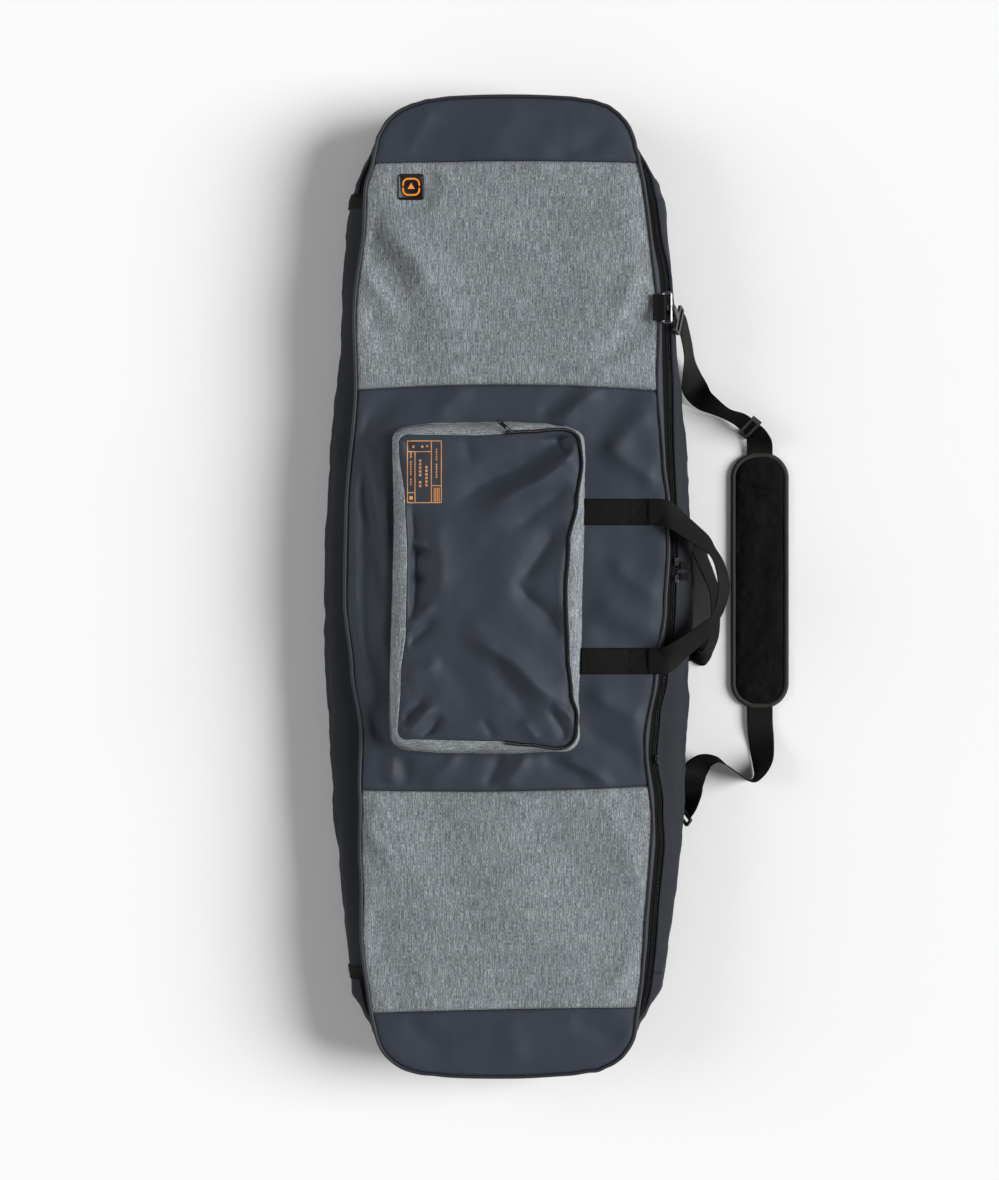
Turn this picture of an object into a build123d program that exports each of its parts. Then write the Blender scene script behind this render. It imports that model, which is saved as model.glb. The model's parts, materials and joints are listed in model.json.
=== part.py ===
"""Padded board bag, lying on its back, in builder mode. Millimetres, +Z up.

The origin is the middle of the back panel's outer face, +Y runs along the bag to its top end, and +X points to the zip side.
The front is a padded flap that hinges on the left and zips to the bag body along the top, the right and the bottom.
"""

import os
from math import asin, atan2, cos, degrees, hypot, radians, sin

from build123d import *

os.makedirs("parts", exist_ok=True)

# ---- Driving dimensions ----------------------------------------------------------------------
PANEL_MID = 231.0  # half the width of the front and back panels, at the middle of the bag
PANEL_SHOULDER = 199.0  # the same at SHOULDER_Y, where the sides stop being one long arc
PANEL_CORNER = 189.0  # and at CORNER_Y, where the corners begin
SHOULDER_Y = 560.0
CORNER_Y = 638.0
END_X = 118.0  # where the corner arc meets the gently arched end
END_Y = 703.0  # half the length of the panels
END_RISE = 5.0

FABRIC = 1.6  # coated polyester
FOAM = 8.0  # closed-cell padding
LINING = 1.0
RIM_Z = 81.0  # top of the side walls
FLAP_Z = 82.0  # underside of the closed flap's lining
BULGE_Z = 45.0  # height at which the side walls bulge most
BULGE_RIGHT = 38.0
BULGE_LEFT = 34.0
WALL = 5.0  # padded side wall
PADDING_INSET = WALL + 0.6  # the back's padding lies inside the walls

BACK_TOP = FABRIC + FOAM + LINING
FRONT_FOAM_Z = FLAP_Z + LINING
FRONT_SKIN_Z = FRONT_FOAM_Z + FOAM
FRONT_Z = FRONT_SKIN_Z + FABRIC  # the front's outer face

SEAM_END_Y = 613.0  # seams across the front, between its five panels
SEAM_MID_Y = 288.0
SEAM_GAP = 0.4

PIPING = 5.0  # diameter of the piping cord
ZIP_CLEAR = 0.5  # between the two halves of the main zip
COIL_WIDTH = 2.6
COIL_HEIGHT = 2.2
TAPE = 0.8
ZIP_LINE = 10.4  # from the panel's edge to where the zip's halves meet, on the long side
ZIP_LINE_END = 4.4  # the same at the ends, where the band stands steeper
TAPE_WIDTH = 8.0

WEB = 38.0  # width of all the webbing
WEB_THICK = 2.0
HANDLE_THICK = 3.0  # folded double
HANDLE_Y = 108.0  # half the distance between a handle's two ends

POCKET_X = -29.5  # middle of the pocket
POCKET_Y = -1.5
POCKET_WIDTH = 275.0
POCKET_LENGTH = 476.0
POCKET_HEIGHT = 36.0
POCKET_LEAN = 17.0  # how far the pocket's sides lean in, on each side
POCKET_CORNER = 30.0
POCKET_FOLD_X = -5.0  # the pocket's zip starts and ends here, and its flap folds back here
POCKET_LID_Z = FRONT_Z + POCKET_HEIGHT

HINGE_X = -(PANEL_MID + 2.0)
HINGE_Z = FRONT_Z - 1.1


# ---- Outlines --------------------------------------------------------------------------------
def board_outline(right=0.0, left=0.0, end=0.0, bulge_right=0.0, bulge_left=0.0):
    """The board-shaped outline of the panels, grown outwards, with its long sides bulged further."""
    corner_rise = (END_Y + end - END_RISE - CORNER_Y) * 0.74

    def side(sign, grow, bulge):
        """The points of one long side, from the lower end's arc to the upper one's."""
        upper = [
            (PANEL_SHOULDER + grow + 0.55 * bulge, SHOULDER_Y),
            (PANEL_CORNER + grow + 0.1 * bulge, CORNER_Y),
            (PANEL_CORNER - 19.0 + 0.7 * grow, CORNER_Y + corner_rise),
            (END_X, END_Y + end - END_RISE),
        ]
        lower = [(x, -y) for x, y in reversed(upper)]
        middle = (PANEL_MID + grow + bulge, 0.0)
        return [(sign * x, y) for x, y in [*lower, middle, *upper]]

    points_right = side(1, right, bulge_right)
    points_left = side(-1, left, bulge_left)
    with BuildSketch() as outline:
        with BuildLine():
            for points in (points_right, points_left):
                ThreePointArc(*points[0:3])
                Line(points[2], points[3])
                ThreePointArc(*points[3:6])
                Line(points[5], points[6])
                ThreePointArc(*points[6:9])
            ThreePointArc(points_right[-1], (0, END_Y + end), points_left[-1])
            ThreePointArc(points_right[0], (0, -END_Y - end), points_left[0])
        make_face()
    return outline.sketch


def zip_outline(offset):
    """The outline at a distance outside the line where the zip's halves meet."""
    return board_outline(
        ZIP_LINE + offset, ZIP_LINE_END + offset, ZIP_LINE_END + offset * 0.45
    )


def write(builder, node):
    """Labels a finished piece and writes its STEP."""
    builder.part.label = node
    export_step(builder.part, f"parts/{node}.step")


def place(builder, plane):
    """Moves a piece that was drawn in its own frame to where that frame lies on the bag."""
    builder.part = builder.part.moved(plane.location)


def slab(outline, low, high):
    with BuildPart() as made:
        with BuildSketch(Plane.XY.offset(low)):
            add(outline)
        extrude(amount=high - low)
    return made


def zip_strip(inner, outer, low, high):
    """A strip along the zip's way: the top end, the right side and the bottom end, with the hinge side left out."""
    with BuildPart() as made:
        with BuildSketch(Plane.XY.offset(low)):
            add(zip_outline(outer))
            add(zip_outline(inner), mode=Mode.SUBTRACT)
            with Locations((-PANEL_MID, 0)):
                Rectangle(PANEL_MID, 2 * SHOULDER_Y + 12, mode=Mode.SUBTRACT)
        extrude(amount=high - low)
    return made


# ---- Bag body: back ---------------------------------------------------------------------------
REAR_HINGE_X = PANEL_MID + BULGE_RIGHT + 5.0
REAR_ROOT_Y = 84.0  # half the distance between the rear loop's ends

with BuildPart() as rear_recess:  # where the rear handle's webbing presses into the padding
    with BuildSketch(Plane.XY):
        with Locations((PANEL_MID - 60, HANDLE_Y), (PANEL_MID - 60, -HANDLE_Y)):
            Rectangle(140, WEB + 1)
    extrude(amount=HANDLE_THICK + 0.5)

with BuildPart() as back_panel:
    add(slab(board_outline(), 0, FABRIC).part)
    add(rear_recess.part, mode=Mode.SUBTRACT)
write(back_panel, "back_panel")

with BuildPart() as back_foam:
    add(slab(board_outline(-PADDING_INSET, -PADDING_INSET, -PADDING_INSET), FABRIC, FABRIC + FOAM).part)
    add(rear_recess.part, mode=Mode.SUBTRACT)
write(back_foam, "back_foam")

back_lining = slab(
    board_outline(-PADDING_INSET, -PADDING_INSET, -PADDING_INSET), FABRIC + FOAM, BACK_TOP
)
write(back_lining, "back_lining")

with BuildPart() as back_piping:
    add(slab(board_outline(PIPING, PIPING, PIPING), 0.3, 0.3 + PIPING).part)
    add(slab(board_outline(0.3, 0.3, 0.3), 0, 10).part, mode=Mode.SUBTRACT)
    with BuildSketch(Plane.XY):
        with Locations((PANEL_MID, HANDLE_Y), (PANEL_MID, -HANDLE_Y)):
            Rectangle(60, WEB + 1)
    extrude(amount=HANDLE_THICK + 0.5, mode=Mode.SUBTRACT)
write(back_piping, "back_piping")


# ---- Bag body: side walls ---------------------------------------------------------------------
def wall_shape(inset):
    """The space inside the side walls' outer faces, or inside their inner faces with an inset."""
    foot = board_outline(-inset, -inset, -inset)
    waist = board_outline(-inset, -inset, 2 - inset, BULGE_RIGHT, BULGE_LEFT)
    rim_right = ZIP_LINE + TAPE_WIDTH - inset
    rim = board_outline(rim_right, 1 - inset, ZIP_LINE_END + 3.8 - inset)
    with BuildPart() as made:
        for outline, height in ((foot, FABRIC), (foot, PIPING + 0.6), (waist, BULGE_Z), (rim, RIM_Z)):
            with BuildSketch(Plane.XY.offset(height)):
                add(outline)
        loft(ruled=True)
    return made


with BuildPart() as walls:
    add(wall_shape(0).part)
    add(wall_shape(WALL).part, mode=Mode.SUBTRACT)


def wall_piece(centre, size):
    """The part of the side walls inside a box."""
    with BuildPart() as made:
        add(walls.part)
        with Locations(centre):
            Box(*size, mode=Mode.INTERSECT)
    return made


ALL = 2 * PANEL_MID + 200.0  # wider than the whole bag
SIDE_LENGTH = 2 * (SHOULDER_Y - 0.3)
END_MID = SHOULDER_Y + PANEL_MID / 2
with BuildPart() as gusset_right:
    add(wall_piece((PANEL_MID, 0, BULGE_Z), (PANEL_MID, SIDE_LENGTH, 200)).part)
    add(rear_recess.part, mode=Mode.SUBTRACT)
write(gusset_right, "gusset_right")
write(wall_piece((-PANEL_MID, 0, BULGE_Z), (PANEL_MID, SIDE_LENGTH, 200)), "gusset_left")
write(wall_piece((0, END_MID, BULGE_Z), (ALL, PANEL_MID, 200)), "gusset_top")
write(wall_piece((0, -END_MID, BULGE_Z), (ALL, PANEL_MID, 200)), "gusset_bottom")


# ---- Main zip ---------------------------------------------------------------------------------
HALF = ZIP_CLEAR / 2
TEETH_Z = FLAP_Z + TAPE
body_tape = zip_strip(HALF, TAPE_WIDTH, FLAP_Z - 0.4, FLAP_Z - 0.4 + TAPE)
write(body_tape, "main_zip_tape_body")
body_coil = zip_strip(HALF, COIL_WIDTH, TEETH_Z - 0.4, TEETH_Z + COIL_HEIGHT - 0.4)
write(body_coil, "main_zip_coil_body")
flap_tape = zip_strip(-TAPE_WIDTH, -HALF, FLAP_Z, FLAP_Z + TAPE)
write(flap_tape, "main_zip_tape_flap")
flap_coil = zip_strip(-COIL_WIDTH, -HALF, TEETH_Z, TEETH_Z + COIL_HEIGHT)
write(flap_coil, "main_zip_coil_flap")

ZIP_X = PANEL_MID + ZIP_LINE + HALF + COIL_WIDTH / 2  # the body's coil, mid bag
SAGITTA = PANEL_MID - PANEL_SHOULDER
ZIP_RADIUS = (SHOULDER_Y**2 + SAGITTA**2) / (2 * SAGITTA)  # of the zip's long arc
UPPER_SLIDER_Y = 36.0
LOWER_SLIDER_Y = 11.0
SLIDER_LENGTH = 11.0
SLIDER_Z = TEETH_Z + COIL_HEIGHT  # underside of a slider's top plate
PULL_REACH = 15.0
PULL_DISC = 6.0
UPPER_PULL_TURN = -24.0  # how each pull lies, from pointing straight out of the bag
LOWER_PULL_TURN = 14.0


def slider_plane(y, turn=0.0):
    """A frame on the zip's long arc, turned from pointing straight away from the arc's centre."""
    along_arc = asin(y / ZIP_RADIUS)
    x = ZIP_X - ZIP_RADIUS * (1 - cos(along_arc))
    facing = along_arc + radians(turn)
    return Plane(origin=(x, y, SLIDER_Z), x_dir=(cos(facing), sin(facing), 0), z_dir=(0, 0, 1))


def crown():
    """The small bridge on a main slider that the link of its pull goes through, drawn in the pull's frame."""
    with BuildPart() as made:
        with BuildSketch(Plane.XZ.offset(-1.0)):
            with Locations((1.5, 2.4)):
                Rectangle(4.4, 3.4)
            with Locations((1.5, 2.5)):
                Rectangle(2.2, 1.8, mode=Mode.SUBTRACT)
        extrude(amount=2.0)
    return made


def main_slider(y, turn):
    """A zip slider that straddles the body's coil, with a crown for its pull."""
    width = COIL_WIDTH + 3.0
    with BuildPart() as made:
        with BuildSketch(Plane.XY):
            with Locations((1.5, 0)):
                RectangleRounded(width, SLIDER_LENGTH, 2.0)
        extrude(amount=1.4)
        with Locations((COIL_WIDTH / 2 + 2.1, 0, -0.6)):
            Box(1.4, SLIDER_LENGTH - 3, 2.0)
        add(crown().part.moved(Location((0, 0, 0), (0, 0, turn))))
    place(made, slider_plane(y))
    return made


def main_pull(y, turn):
    """A link through the crown and a round moulded grip, lying across the wall."""
    with BuildPart() as made:
        with BuildSketch(Plane.XY.offset(2.1)):
            with Locations((5.6, 0)):
                RectangleRounded(9.6, 5.0, 1.2)
            with Locations((5.2, 0)):
                RectangleRounded(7.0, 2.6, 0.8, mode=Mode.SUBTRACT)
        extrude(amount=0.9)
        with BuildSketch(Plane.XY.offset(1.9)):
            with Locations((PULL_REACH, 0)):
                Circle(PULL_DISC)
        extrude(amount=2.6)
        chamfer(made.edges().filter_by(GeomType.CIRCLE).group_by(Axis.Z)[-1], 0.6)
    place(made, slider_plane(y, turn))
    return made


for side, y, turn in (
    ("upper", UPPER_SLIDER_Y, UPPER_PULL_TURN),
    ("lower", LOWER_SLIDER_Y, LOWER_PULL_TURN),
):
    write(main_slider(y, turn), f"{side}_zip_slider")
    write(main_pull(y, turn), f"{side}_zip_pull")


# ---- Webbing over the zip's two ends, and the pull tab at the top ------------------------------
TAB_Y = SHOULDER_Y - 3.0
TAB_WIDTH = 25.0


def end_tab(sign):
    """Webbing sewn down the left wall where the zip stops."""
    with BuildPart() as made:
        add(wall_shape(-(0.4 + WEB_THICK)).part)
        add(wall_shape(-0.4).part, mode=Mode.SUBTRACT)
        with Locations((-250, sign * TAB_Y, 44)):
            Box(200, TAB_WIDTH, 70, mode=Mode.INTERSECT)
    return made


write(end_tab(1), "zip_end_tab_top")
write(end_tab(-1), "zip_end_tab_bottom")

with BuildPart() as top_tab:
    with BuildSketch(Plane.YZ):
        with BuildLine():
            y_in, y_out = END_Y + ZIP_LINE_END + 3.8, END_Y + ZIP_LINE_END + 6.6
            Polyline(
                (y_in, RIM_Z - 22), (y_out, RIM_Z - 22), (y_out, RIM_Z - 3), (y_in, RIM_Z - 3), close=True
            )
        make_face()
    extrude(amount=11, both=True)
    add(wall_shape(-0.3).part, mode=Mode.SUBTRACT)
write(top_tab, "top_pull_tab")


# ---- Front flap -------------------------------------------------------------------------------
front_lining = slab(board_outline(-4.5, -4.5, -4.5), FLAP_Z, FRONT_FOAM_Z)
write(front_lining, "front_lining")
front_foam = slab(board_outline(-1, -1, -1), FRONT_FOAM_Z, FRONT_SKIN_Z)
write(front_foam, "front_foam")

front_skin = slab(board_outline(), FRONT_SKIN_Z, FRONT_Z)
SEAMS = [-END_Y - 20, -SEAM_END_Y, -SEAM_MID_Y, SEAM_MID_Y, SEAM_END_Y, END_Y + 20]
PANELS = ["bottom_end", "lower", "centre", "upper", "top_end"]
for node, low, high in zip(PANELS, SEAMS, SEAMS[1:]):
    with BuildPart() as front_piece:
        add(front_skin.part)
        with Locations((0, (low + high) / 2, FRONT_Z)):
            Box(600, high - low - SEAM_GAP, 10, mode=Mode.INTERSECT)
    write(front_piece, f"front_panel_{node}")

with BuildPart() as front_piping:
    low = FRONT_Z - PIPING + 1.4
    add(slab(board_outline(2.8, 2.8, 2.8), low, low + PIPING).part)
    add(slab(board_outline(0.3, 0.3, 0.3), 0, 200).part, mode=Mode.SUBTRACT)
write(front_piping, "front_piping")

with BuildPart() as zip_band:  # the narrow strip between the piping and the zip
    for outline, height in (
        (zip_outline(-COIL_WIDTH - 0.4), FLAP_Z + TAPE + 0.1),
        (board_outline(0.9, 0.9, 0.9), FRONT_Z - PIPING + 1.2),
    ):
        with BuildSketch(Plane.XY.offset(height)):
            add(outline)
    loft(ruled=True)
    add(slab(board_outline(-0.7, -0.7, -0.7), 0, 200).part, mode=Mode.SUBTRACT)
    with Locations((-PANEL_MID, 0, 90)):
        Box(PANEL_MID, 2 * SHOULDER_Y + 12, 100, mode=Mode.SUBTRACT)
write(zip_band, "flap_zip_band")

BADGE_X, BADGE_Y, BADGE = -141.0, 579.0, 38.0
with BuildPart() as badge:
    with BuildSketch(Plane.XY.offset(FRONT_Z)):
        with Locations((BADGE_X, BADGE_Y)):
            RectangleRounded(BADGE, BADGE, 5.0)
    extrude(amount=1.6)
write(badge, "badge")

with BuildPart() as badge_mark:  # a plain ring of two arcs round a small peak
    with BuildSketch(Plane.XY.offset(FRONT_Z + 1.6)):
        with Locations((BADGE_X, BADGE_Y)):
            RectangleRounded(26, 26, 9.0)
            RectangleRounded(21, 21, 6.5, mode=Mode.SUBTRACT)
            Rectangle(30, 3.0, mode=Mode.SUBTRACT)
            RegularPolygon(6.0, 3, rotation=90)
    extrude(amount=0.6)
write(badge_mark, "badge_mark")


# ---- Pocket -----------------------------------------------------------------------------------
def pocket_outline(inset):
    with BuildSketch() as outline:
        with Locations((POCKET_X, POCKET_Y)):
            RectangleRounded(
                POCKET_WIDTH - 2 * inset, POCKET_LENGTH - 2 * inset, POCKET_CORNER - inset * 0.6
            )
    return outline.sketch


def pocket_block(inset, low, high):
    with BuildPart() as made:
        for outline, height in (
            (pocket_outline(inset), low),
            (pocket_outline(inset + POCKET_LEAN), high),
        ):
            with BuildSketch(Plane.XY.offset(height)):
                add(outline)
        loft(ruled=True)
    return made


POCKET_WALL = 2.0
with BuildPart() as pocket_gusset:
    add(pocket_block(0, FRONT_Z, POCKET_LID_Z - 2.6).part)
    add(pocket_block(POCKET_WALL, FRONT_Z, POCKET_LID_Z - 2.6).part, mode=Mode.SUBTRACT)
write(pocket_gusset, "pocket_gusset")

LID_INSET = POCKET_LEAN - 0.5
FAR = POCKET_WIDTH
with BuildPart() as pocket_lid:
    add(slab(pocket_outline(LID_INSET), POCKET_LID_Z - FABRIC, POCKET_LID_Z).part)
for node, x in (
    ("pocket_front_fixed", POCKET_FOLD_X - 0.2 - FAR / 2),
    ("pocket_front_flap", POCKET_FOLD_X + 0.2 + FAR / 2),
):
    with BuildPart() as pocket_front:
        add(pocket_lid.part)
        with Locations((x, 0, POCKET_LID_Z)):
            Box(FAR, 600, 20, mode=Mode.INTERSECT)
    write(pocket_front, node)

with BuildPart() as pocket_zip:  # tape and coil round the pocket's free half, on the gusset's side
    add(slab(pocket_outline(POCKET_LEAN - 3.4), POCKET_LID_Z - 2.4, POCKET_LID_Z - 0.2).part)
    add(slab(pocket_outline(LID_INSET - 0.4), 0, 200).part, mode=Mode.SUBTRACT)
    with Locations((POCKET_FOLD_X - FAR / 2, 0, POCKET_LID_Z)):
        Box(FAR, 600, 20, mode=Mode.SUBTRACT)
write(pocket_zip, "pocket_zip_coil")

POCKET_SLIDER_X = POCKET_FOLD_X + 8.0
POCKET_SLIDER_Y = POCKET_Y + POCKET_LENGTH / 2 - POCKET_LEAN + 3.6
POCKET_PULL_TURN = -40.0  # the pull lies back over the pocket's edge
PULL_FRAME = Plane(
    origin=(POCKET_SLIDER_X, POCKET_SLIDER_Y, POCKET_LID_Z),
    x_dir=(-cos(radians(POCKET_PULL_TURN)), -sin(radians(POCKET_PULL_TURN)), 0),
    z_dir=(0, 0, 1),
)
with BuildPart() as pocket_slider:
    with BuildSketch(Plane.XY):
        RectangleRounded(9.0, 4.4, 1.4)
    extrude(amount=1.2)
    add(crown().part.moved(Location((0, 0, 0), (0, 0, 180 + POCKET_PULL_TURN))))
place(pocket_slider, Plane(origin=PULL_FRAME.origin))
write(pocket_slider, "pocket_zip_slider")

POCKET_PULL_LENGTH = 24.0
with BuildPart() as pocket_pull:  # a narrow loop with a round end
    with BuildSketch(Plane.XY.offset(2.1)):
        with Locations((0.8 + POCKET_PULL_LENGTH / 2, 0)):
            RectangleRounded(POCKET_PULL_LENGTH, 5.6, 2.2)
        with Locations((POCKET_PULL_LENGTH - 3.2, 0)):
            Circle(1.5, mode=Mode.SUBTRACT)
        with Locations((5.2, 0)):
            RectangleRounded(7.0, 2.6, 0.8, mode=Mode.SUBTRACT)
    extrude(amount=0.9)
place(pocket_pull, PULL_FRAME)
write(pocket_pull, "pocket_zip_pull")

PRINT_X, PRINT_Y = -121.0, 165.0
with BuildPart() as pocket_print:  # a printed frame with plain bars in place of words
    with BuildSketch(Plane.XY.offset(POCKET_LID_Z)):
        with Locations((PRINT_X, PRINT_Y)):
            Rectangle(50, 90)
            Rectangle(46.6, 86.6, mode=Mode.SUBTRACT)
            with Locations((11, 0)):
                Rectangle(1.6, 90)
            with Locations((-14, -8)):
                Rectangle(1.6, 72)
            with Locations((-6.2, 28)):
                Rectangle(36, 1.6)
    extrude(amount=0.4)
write(pocket_print, "pocket_print")


# ---- Webbing ----------------------------------------------------------------------------------
def stations_to_planes(stations):
    """Frames along a strap: each station is a point and the direction across the webbing there."""
    points = [Vector(*point) for point, _ in stations]
    planes = []
    for i, (_, across) in enumerate(stations):
        before, after = points[max(i - 1, 0)], points[min(i + 1, len(points) - 1)]
        along = (after - before).normalized()
        wide = Vector(*across)
        wide = (wide - along * wide.dot(along)).normalized()
        planes.append(Plane(origin=points[i], x_dir=wide, z_dir=along))
    return planes


def ribbon(stations, width, thickness):
    """A flat strap through its stations."""
    with BuildPart() as made:
        for plane in stations_to_planes(stations):
            with BuildSketch(plane):
                Rectangle(width, thickness)
        loft(ruled=True)
    return made


def mirrored_stations(half):
    """A loop's stations from those of its upper half, which ends at the middle of the loop."""
    other = [((x, -y, z), (u, -v, w)) for (x, y, z), (u, v, w) in reversed(half[:-1])]
    return half + other


FRONT_HINGE_X = 204.0
HANDLE_Z = FRONT_Z + 0.3 + HANDLE_THICK / 2
front_loop_half = [
    ((FRONT_HINGE_X + 2, HANDLE_Y, HANDLE_Z + 1.2), (0, 1, 0)),
    ((FRONT_HINGE_X + 12, HANDLE_Y, HANDLE_Z + 3.4), (0, 1, 0)),
    ((236, 101, HANDLE_Z + 4.4), (0.2, 1, 0)),
    ((262, 85, HANDLE_Z + 3.0), (0.45, 0.85, -0.2)),
    ((287, 65, HANDLE_Z - 2.0), (0.7, 0.6, -0.5)),
    ((304, 37, HANDLE_Z - 9.0), (0.6, 0.25, -0.8)),
    ((312, 0, HANDLE_Z - 13.0), (0.45, 0, -0.89)),
]
front_loop = ribbon(mirrored_stations(front_loop_half), WEB, HANDLE_THICK)
write(front_loop, "front_handle_loop")

with BuildPart() as front_anchors:
    anchor_from = POCKET_X + POCKET_WIDTH / 2 + 0.6
    with BuildSketch(Plane.XY.offset(FRONT_Z)):
        with Locations(
            ((anchor_from + FRONT_HINGE_X) / 2, HANDLE_Y), ((anchor_from + FRONT_HINGE_X) / 2, -HANDLE_Y)
        ):
            Rectangle(FRONT_HINGE_X - anchor_from, WEB)
    extrude(amount=HANDLE_THICK)
write(front_anchors, "front_handle_anchors")

REAR_Z = 0.4 + HANDLE_THICK / 2
rear_loop_half = [
    ((REAR_HINGE_X + 1, REAR_ROOT_Y, REAR_Z + 0.3), (0, 1, 0)),
    ((REAR_HINGE_X + 7, REAR_ROOT_Y, REAR_Z + 1.5), (0, 1, 0)),
    ((297, 68, REAR_Z + 9.0), (0.55, 0.75, -0.35)),
    ((306, 34, REAR_Z + 16.0), (0.5, 0.2, -0.8)),
    ((308, 0, REAR_Z + 18.0), (0.35, 0, -0.94)),
]
rear_loop = ribbon(mirrored_stations(rear_loop_half), WEB, HANDLE_THICK)
write(rear_loop, "rear_handle_loop")

with BuildPart() as rear_anchors:
    with BuildSketch(Plane.XY.offset(0.1)):
        for sign in (1, -1):
            with BuildLine():
                Polyline(
                    (PANEL_MID - 128, sign * (HANDLE_Y + WEB / 2)),
                    (PANEL_MID + 6, sign * (HANDLE_Y + WEB / 2)),
                    (REAR_HINGE_X - 1, sign * (REAR_ROOT_Y + WEB / 2)),
                    (REAR_HINGE_X - 1, sign * (REAR_ROOT_Y - WEB / 2)),
                    (PANEL_MID + 6, sign * (HANDLE_Y - WEB / 2)),
                    (PANEL_MID - 128, sign * (HANDLE_Y - WEB / 2)),
                    close=True,
                )
            make_face()
    extrude(amount=HANDLE_THICK)
write(rear_anchors, "rear_handle_anchors")


# ---- Strap rings, tabs and hooks --------------------------------------------------------------
RING_WIRE = 3.2
RING_INSIDE = 40.0
RING_DEPTH = 8.0
RING_REACH = RING_DEPTH + RING_WIRE  # from the ring's inner bar to its outer one


def ring(plane):
    """A rectangular wire ring in the plane's XY, with its inner bar on the plane's Y axis."""
    with BuildPart() as made:
        with BuildSketch(Plane.XY.offset(-RING_WIRE / 2)):
            with Locations((RING_REACH / 2, 0)):
                RectangleRounded(RING_REACH + RING_WIRE, RING_INSIDE + 2 * RING_WIRE, 3.0)
                RectangleRounded(RING_DEPTH, RING_INSIDE, 1.4, mode=Mode.SUBTRACT)
        extrude(amount=RING_WIRE)
        chamfer(made.edges().filter_by(Plane.XY), 0.7)
    place(made, plane)
    return made


def ring_tab(plane, leg):
    """A loop of webbing round the ring's inner bar, with its two ends sewn down together along the leg."""
    inner = RING_WIRE / 2 + 0.4
    with BuildPart() as made:
        with BuildSketch(Plane.XZ.offset(-WEB / 2)):
            Circle(inner + WEB_THICK * 0.8)
            with Locations((leg[0] / 2, leg[1] / 2)):
                Rectangle(hypot(*leg), 2.4 * WEB_THICK, rotation=degrees(atan2(leg[1], leg[0])))
            Circle(inner, mode=Mode.SUBTRACT)
        extrude(amount=WEB)
    place(made, plane)
    return made


HOOK_REACH = 30.0  # from the ring's bar to the middle of the hook's webbing frame
HOOK_WIDTH = 8.0
HOOK_THICK = 3.5
HOOK_FRAME = 47.0
BAR_CLEAR = RING_WIRE / 2 + 0.6
TIP_CLEAR = BAR_CLEAR + 1.3  # room for the ring's bar to swing up past the hook's tip


def hook(plane, along, across):
    """A one-piece moulded hook: a cup under the ring's outer bar, a shank and a frame for the webbing.

    The plane lies at the middle of the bar, with +Y along the bar, and the cup opens towards its +Z.
    """
    way = Vector(*along).normalized()
    side = Vector(*across)
    side = (side - way * side.dot(way)).normalized()
    with BuildPart() as made:
        with BuildSketch(Plane.XZ.offset(-HOOK_WIDTH / 2)):
            with BuildLine():
                Polyline(
                    (-TIP_CLEAR, 3.0),
                    (-TIP_CLEAR, -BAR_CLEAR),
                    (BAR_CLEAR, -BAR_CLEAR),
                    (BAR_CLEAR, 2.0),
                    (BAR_CLEAR + HOOK_THICK - 1.0, 2.0),
                    (BAR_CLEAR + HOOK_THICK, 0.5),
                    (BAR_CLEAR + HOOK_THICK, -BAR_CLEAR - 2.0),
                    (BAR_CLEAR + HOOK_THICK - 2.0, -BAR_CLEAR - HOOK_THICK),
                    (-TIP_CLEAR - 1.0, -BAR_CLEAR - HOOK_THICK),
                    (-TIP_CLEAR - HOOK_THICK + 0.6, -BAR_CLEAR - 1.6),
                    (-TIP_CLEAR - HOOK_THICK + 0.6, 2.0),
                    (-TIP_CLEAR - HOOK_THICK + 1.8, 3.0),
                    close=True,
                )
            make_face()
        extrude(amount=HOOK_WIDTH)
    place(made, plane)
    root = plane.from_local_coords(Vector(BAR_CLEAR + HOOK_THICK / 2, 0, -BAR_CLEAR - 0.6))
    middle = plane.origin + way * HOOK_REACH
    with BuildPart() as whole:
        add(made.part)
        for centre, wide in ((root, HOOK_WIDTH), (middle - way * 6.0, 15.0)):
            with BuildSketch(Plane(origin=centre, x_dir=side, z_dir=way)):
                Rectangle(wide, HOOK_THICK)
        loft()
        frame_plane = Plane(origin=middle, x_dir=way, z_dir=way.cross(side))
        with BuildSketch(frame_plane.offset(-HOOK_THICK / 2)):
            RectangleRounded(15.0, HOOK_FRAME, 3.0)
            RectangleRounded(6.0, WEB + 1.6, 1.5, mode=Mode.SUBTRACT)
        extrude(amount=HOOK_THICK)
    return whole


def panel_edge(y):
    """How far the panels' edge lies from the middle of the bag, on the long arc."""
    return PANEL_MID - ZIP_RADIUS * (1 - cos(asin(y / ZIP_RADIUS)))


UPPER_RING_Y = 404.0
LOWER_RING_Y = -355.0
UPPER_RING_X = panel_edge(UPPER_RING_Y) + 10.0
LOWER_RING_X = panel_edge(LOWER_RING_Y) + 10.0
UPPER_RING_Z = FRONT_Z + 4.4
LOWER_RING_Z = 8.0
UPPER_RING = Plane(origin=(UPPER_RING_X, UPPER_RING_Y, UPPER_RING_Z))
LOWER_RING = Plane(origin=(LOWER_RING_X, LOWER_RING_Y, LOWER_RING_Z))
write(ring(UPPER_RING), "upper_strap_ring")
write(ring(LOWER_RING), "lower_strap_ring")
write(ring_tab(UPPER_RING, (-14.0, 0)), "upper_strap_tab")
write(ring_tab(LOWER_RING, (-4.5, 0)), "lower_strap_tab")

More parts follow.
